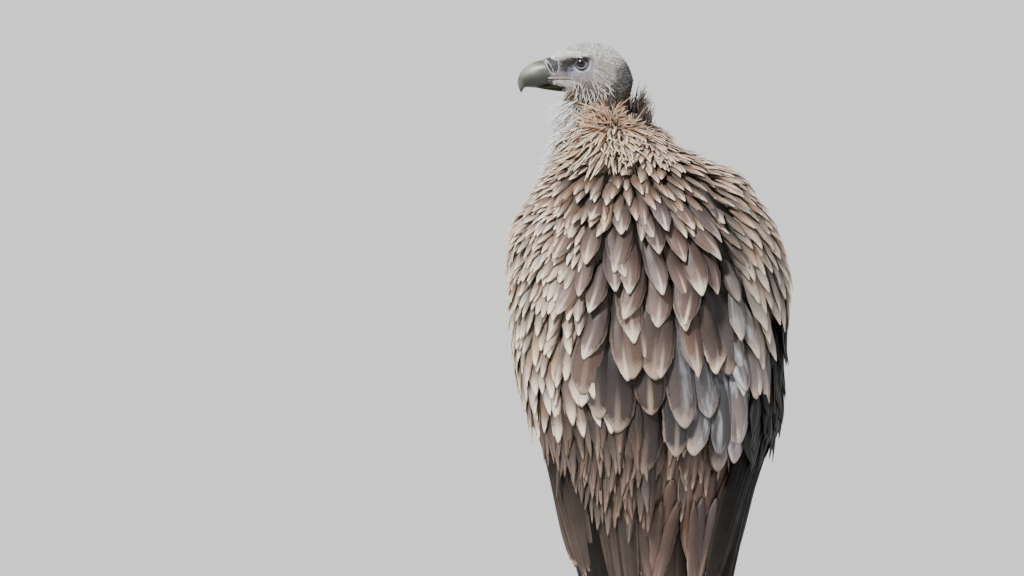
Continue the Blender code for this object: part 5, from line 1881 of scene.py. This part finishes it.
@dataclass
class HeadCoat:
    """The short down on head and neck, and the fluff and bristles of the face."""

    spacing: float = 0.00135

    def tufts(self, form: Form, u: Array, v: Array, lean: Array, length: Array, width: Array, high: Array,
              tint: Array, name: str, finish: bpy.types.Material, vane: Vane,
              chance: np.random.Generator) -> bpy.types.Object:
        """Grows down of these sizes and colours.

        Args:
            form: the skin.
            u: places along the lie.
            v: places across it.
            lean: turn from the form's own lie.
            length: of each tuft.
            width: half of each tuft's width.
            high: how far each tip stands off the skin.
            tint: rows of colour.
            name: the piece's name.
            finish: its material.
            vane: the blade.
            chance: the source of chance.

        Returns:
            The piece.
        """
        n = len(u)
        roots = Roots(u, v, lean, length, width, np.full(n, -0.0004), high, tint, np.zeros((n, 4)),
                      np.zeros((n, 4)),
                      chance.normal(0, 0.2, n), chance.normal(0, 0.03, n), chance.normal(0, 0.3, n))
        return finish_piece(grow(form, roots, vane, name, chance), name, finish, [])

    def head(self, finish: bpy.types.Material) -> bpy.types.Object:
        """Down that is whitest and longest on the crown, and sparse near the eye and mouth."""
        form, chance = Head(), np.random.default_rng(5)
        u, v = scatter(form, chance, 0.04, 0.985, lambda x: self.spacing * 1.15,
                       lambda x: (-math.pi, math.pi), lambda x: self.spacing, 0.45)
        spots = form.point(u, v)
        forward, _, up = head_coordinates(spots)
        bare = np.maximum(hump(forward, 0.004, 0.022) * hump(up, -0.008, 0.012),
                          hump(forward, 0.030, 0.016) * hump(up, -0.020, 0.016))
        crown = ease(up, 0.006, 0.014)
        rear = ease(-forward, 0.012, 0.034)
        keep = (np.hypot(forward, up) > 0.0140) & (forward < 0.0425)
        keep &= chance.uniform(0, 1, len(u)) > np.clip(1.35 * bare * (1 - crown), 0, 0.97)
        u, v, crown, rear, spots, up = (rows[keep] for rows in (u, v, crown, rear, spots, up))
        n = len(u)
        coat = np.clip(np.maximum(crown, rear) + 0.5 * ease(-up, 0.030, 0.045), 0, 1)
        length = (0.0018 + 0.0036 * coat) * np.exp(chance.normal(0, 0.25, n))
        lean = chance.normal(0, 0.28, n) + 0.55 * wander(spots, 0.006, 11)
        tint = shade(chance, face_tint(spots), 0.15, 0.02)
        high = (0.0003 + 0.0011 * coat) * np.exp(chance.normal(0, 0.35, n))
        return self.tufts(form, u, v, lean, length, 0.00028 + 0.00045 * coat, high, tint, "head_down", finish,
                          Vane(2, 2, TipShape.HAIR), chance)

    def neck(self, finish: bpy.types.Material) -> bpy.types.Object:
        """Hair-like down on the neck, grey behind and white in front."""
        form, chance = Neck(), np.random.default_rng(6)
        u, v = scatter(form, chance, 0.05, 0.95, lambda x: 0.0026, lambda x: (-math.pi, math.pi),
                       lambda x: 0.0022, 0.45)
        n, spots = len(u), form.point(u, v)
        lean = chance.normal(0, 0.20, n) + 0.35 * wander(spots, 0.012, 12)
        length = 0.0095 * np.exp(chance.normal(0, 0.25, n))
        tint = shade(chance, face_tint(spots), 0.20, 0.03)
        return self.tufts(form, u, v, lean, length, np.full(n, 0.00060), np.full(n, 0.0030), tint,
                          "neck_down", finish, Vane(3, 2, TipShape.HAIR), chance)

    def patch(self, name: str, finish: bpy.types.Material, count: int, forward: tuple, up: tuple, aim: float,
              length: tuple, half: float, high: tuple, tint: tuple, fan: float = 0.0) -> bpy.types.Object:
        """Sets tufts on both sides of the face, inside one field.

        Args:
            name: the piece's name.
            finish: its material.
            count: how many tufts.
            forward: the field's rear and front end.
            up: its lower and upper end.
            aim: where the tufts point, in degrees from straight back towards up.
            length: shortest and longest.
            half: half a tuft's width.
            high: how far tips stand off.
            tint: their colour.
            fan: how far the aim turns away from the eye instead, from 0 to 1.

        Returns:
            The piece.
        """
        form, chance = Head(), np.random.default_rng(count)
        ahead, rise = chance.uniform(*forward, count), chance.uniform(*up, count)
        side = chance.choice((-1.0, 1.0), count)
        u = (form.front - ahead) / (form.front - form.back)
        low, top = curve(1 - u, form.bottom), curve(1 - u, form.top)
        share = np.clip((rise - (top + low) / 2) / ((top - low) / 2), -0.98, 0.98)
        v = np.where(side > 0, np.arcsin(share), math.pi - np.arcsin(share))
        turn = (1 - fan) * math.radians(aim) + fan * np.arctan2(rise, -ahead) + chance.normal(0, 0.25, count)
        tints = shade(chance, np.tile(tint, (count, 1)), 0.22, 0.05)
        return self.tufts(form, u, v, side * turn, chance.uniform(*length, count), np.full(count, half),
                          chance.uniform(*high, count), tints, name, finish, Vane(6, 2, TipShape.HAIR),
                          chance)

    def details(self, finish: bpy.types.Material) -> None:
        """The fluff of chin and brow, the bristles of lore, lip and cheek, and the streaks behind the eye."""
        self.patch("chin_fluff", finish, 1500, forward=(0.004, 0.036), up=(-0.040, -0.0315), aim=-55,
                   length=(0.005, 0.010), half=0.00045, high=(0.0010, 0.0045), tint=(0.060, 0.045, 0.034))
        self.patch("lore_bristles", finish, 600, forward=(0.013, 0.034), up=(-0.011, 0.006), aim=25,
                   length=(0.0020, 0.0042), half=0.00020, high=(0.0003, 0.0012), tint=(0.030, 0.028, 0.029))
        self.patch("lip_bristles", finish, 760, forward=(0.004, 0.043), up=(-0.034, -0.0225), aim=-46,
                   length=(0.0030, 0.0072), half=0.00030, high=(0.0003, 0.0014), tint=(0.66, 0.63, 0.61))
        self.patch("cheek_bristles", finish, 1500, forward=(-0.034, 0.010), up=(-0.048, -0.014), aim=-42,
                   length=(0.0035, 0.0080), half=0.00030, high=(0.0006, 0.0024), tint=(0.37, 0.305, 0.268))
        self.patch("eye_streaks", finish, 1300, forward=(-0.042, -0.014), up=(-0.022, 0.012), aim=0,
                   length=(0.005, 0.011), half=0.00045, high=(0.0010, 0.0028), tint=(0.50, 0.450, 0.400),
                   fan=0.8)
        self.patch("brow_fluff", finish, 1500, forward=(0.004, 0.041), up=(0.0075, 0.016), aim=20,
                   length=(0.003, 0.006), half=0.00045, high=(0.0010, 0.0034), tint=(0.92, 0.91, 0.84))


def towards(azimuth: float, rise: float) -> Vector:
    """The direction from the bird out to one side of it.

    Args:
        azimuth: the turn round the bird, in radians from its front.
        rise: the angle above the horizon, in radians.

    Returns:
        The unit vector.
    """
    return Vector((math.sin(azimuth) * math.cos(rise), -math.cos(azimuth) * math.cos(rise), math.sin(rise)))


@dataclass
class Studio:
    """The pale floor, the soft light and the camera."""

    middle: tuple = (0.1744, -0.0684, 0.530)
    azimuth: float = math.radians(160)
    rise: float = math.radians(3)
    distance: float = 8.0
    sensor: float = 36.0
    wide: float = 1.423  # how much of the scene the frame takes in, in metres

    def floor(self) -> None:
        """A plain pale floor."""
        bm = bmesh.new()
        bmesh.ops.create_grid(bm, x_segments=1, y_segments=1, size=600.0)
        floor = put("floor", to_mesh(bm, "floor"))
        w = Web("floor_paint")
        w.surface("Base Color", (0.62, 0.62, 0.61))
        w.fix({"Roughness": 1.0, "Specular IOR Level": 0.0})
        floor.data.materials.append(w.material)

    def lamp(self, name: str, azimuth: float, height: float, power: float, soft: float) -> None:
        """A soft sun that shines from this side of the bird."""
        data = bpy.data.lights.new(name, "SUN")
        data.energy, data.angle = power, math.radians(soft)
        lamp = put(name, data)
        side = towards(math.radians(azimuth), math.radians(height))
        lamp.rotation_euler = side.to_track_quat("Z", "Y").to_euler()

    def build(self) -> None:
        """Sets up the floor, the light and the camera."""
        self.floor()
        self.lamp("key", 120, 48, 5.5, 8)
        self.lamp("fill", 215, 25, 0.35, 40)
        world = bpy.data.worlds.new("studio")
        world.use_nodes = True
        sky = world.node_tree.nodes["Background"]
        sky.inputs[0].default_value, sky.inputs[1].default_value = (0.97, 0.97, 1.0, 1.0), 0.42
        bpy.context.scene.world = world
        data = bpy.data.cameras.new("camera")
        data.sensor_width = self.sensor
        data.lens = self.sensor * self.distance / self.wide
        data.clip_end = 2000.0
        camera = put("camera", data)
        out = towards(self.azimuth, self.rise)
        camera.location = Vector(self.middle) + out * self.distance
        camera.rotation_euler = out.to_track_quat("Z", "Y").to_euler()
        bpy.context.scene.camera = camera


def main() -> None:
    """Builds the bird from the skin outwards, then the studio."""
    logging.basicConfig(level=logging.INFO, format="%(message)s")
    bare, horn, wet = BareSkin("face_skin").make(), Horn("horn").make(), Wet("eye_gloss").make()
    Skin().build()
    Bill().build(horn, bare)
    for side, word in ((1, "left"), (-1, "right")):
        Eye(side, word).build(wet, bare)
        Claws(side, word).build(horn)
    Coat().build()
    down = Down("down").make()
    Collar().build(down)
    coat = HeadCoat()
    coat.head(down)
    coat.neck(down)
    coat.details(down)
    Studio().build()


if __name__ == "__main__":
    main()
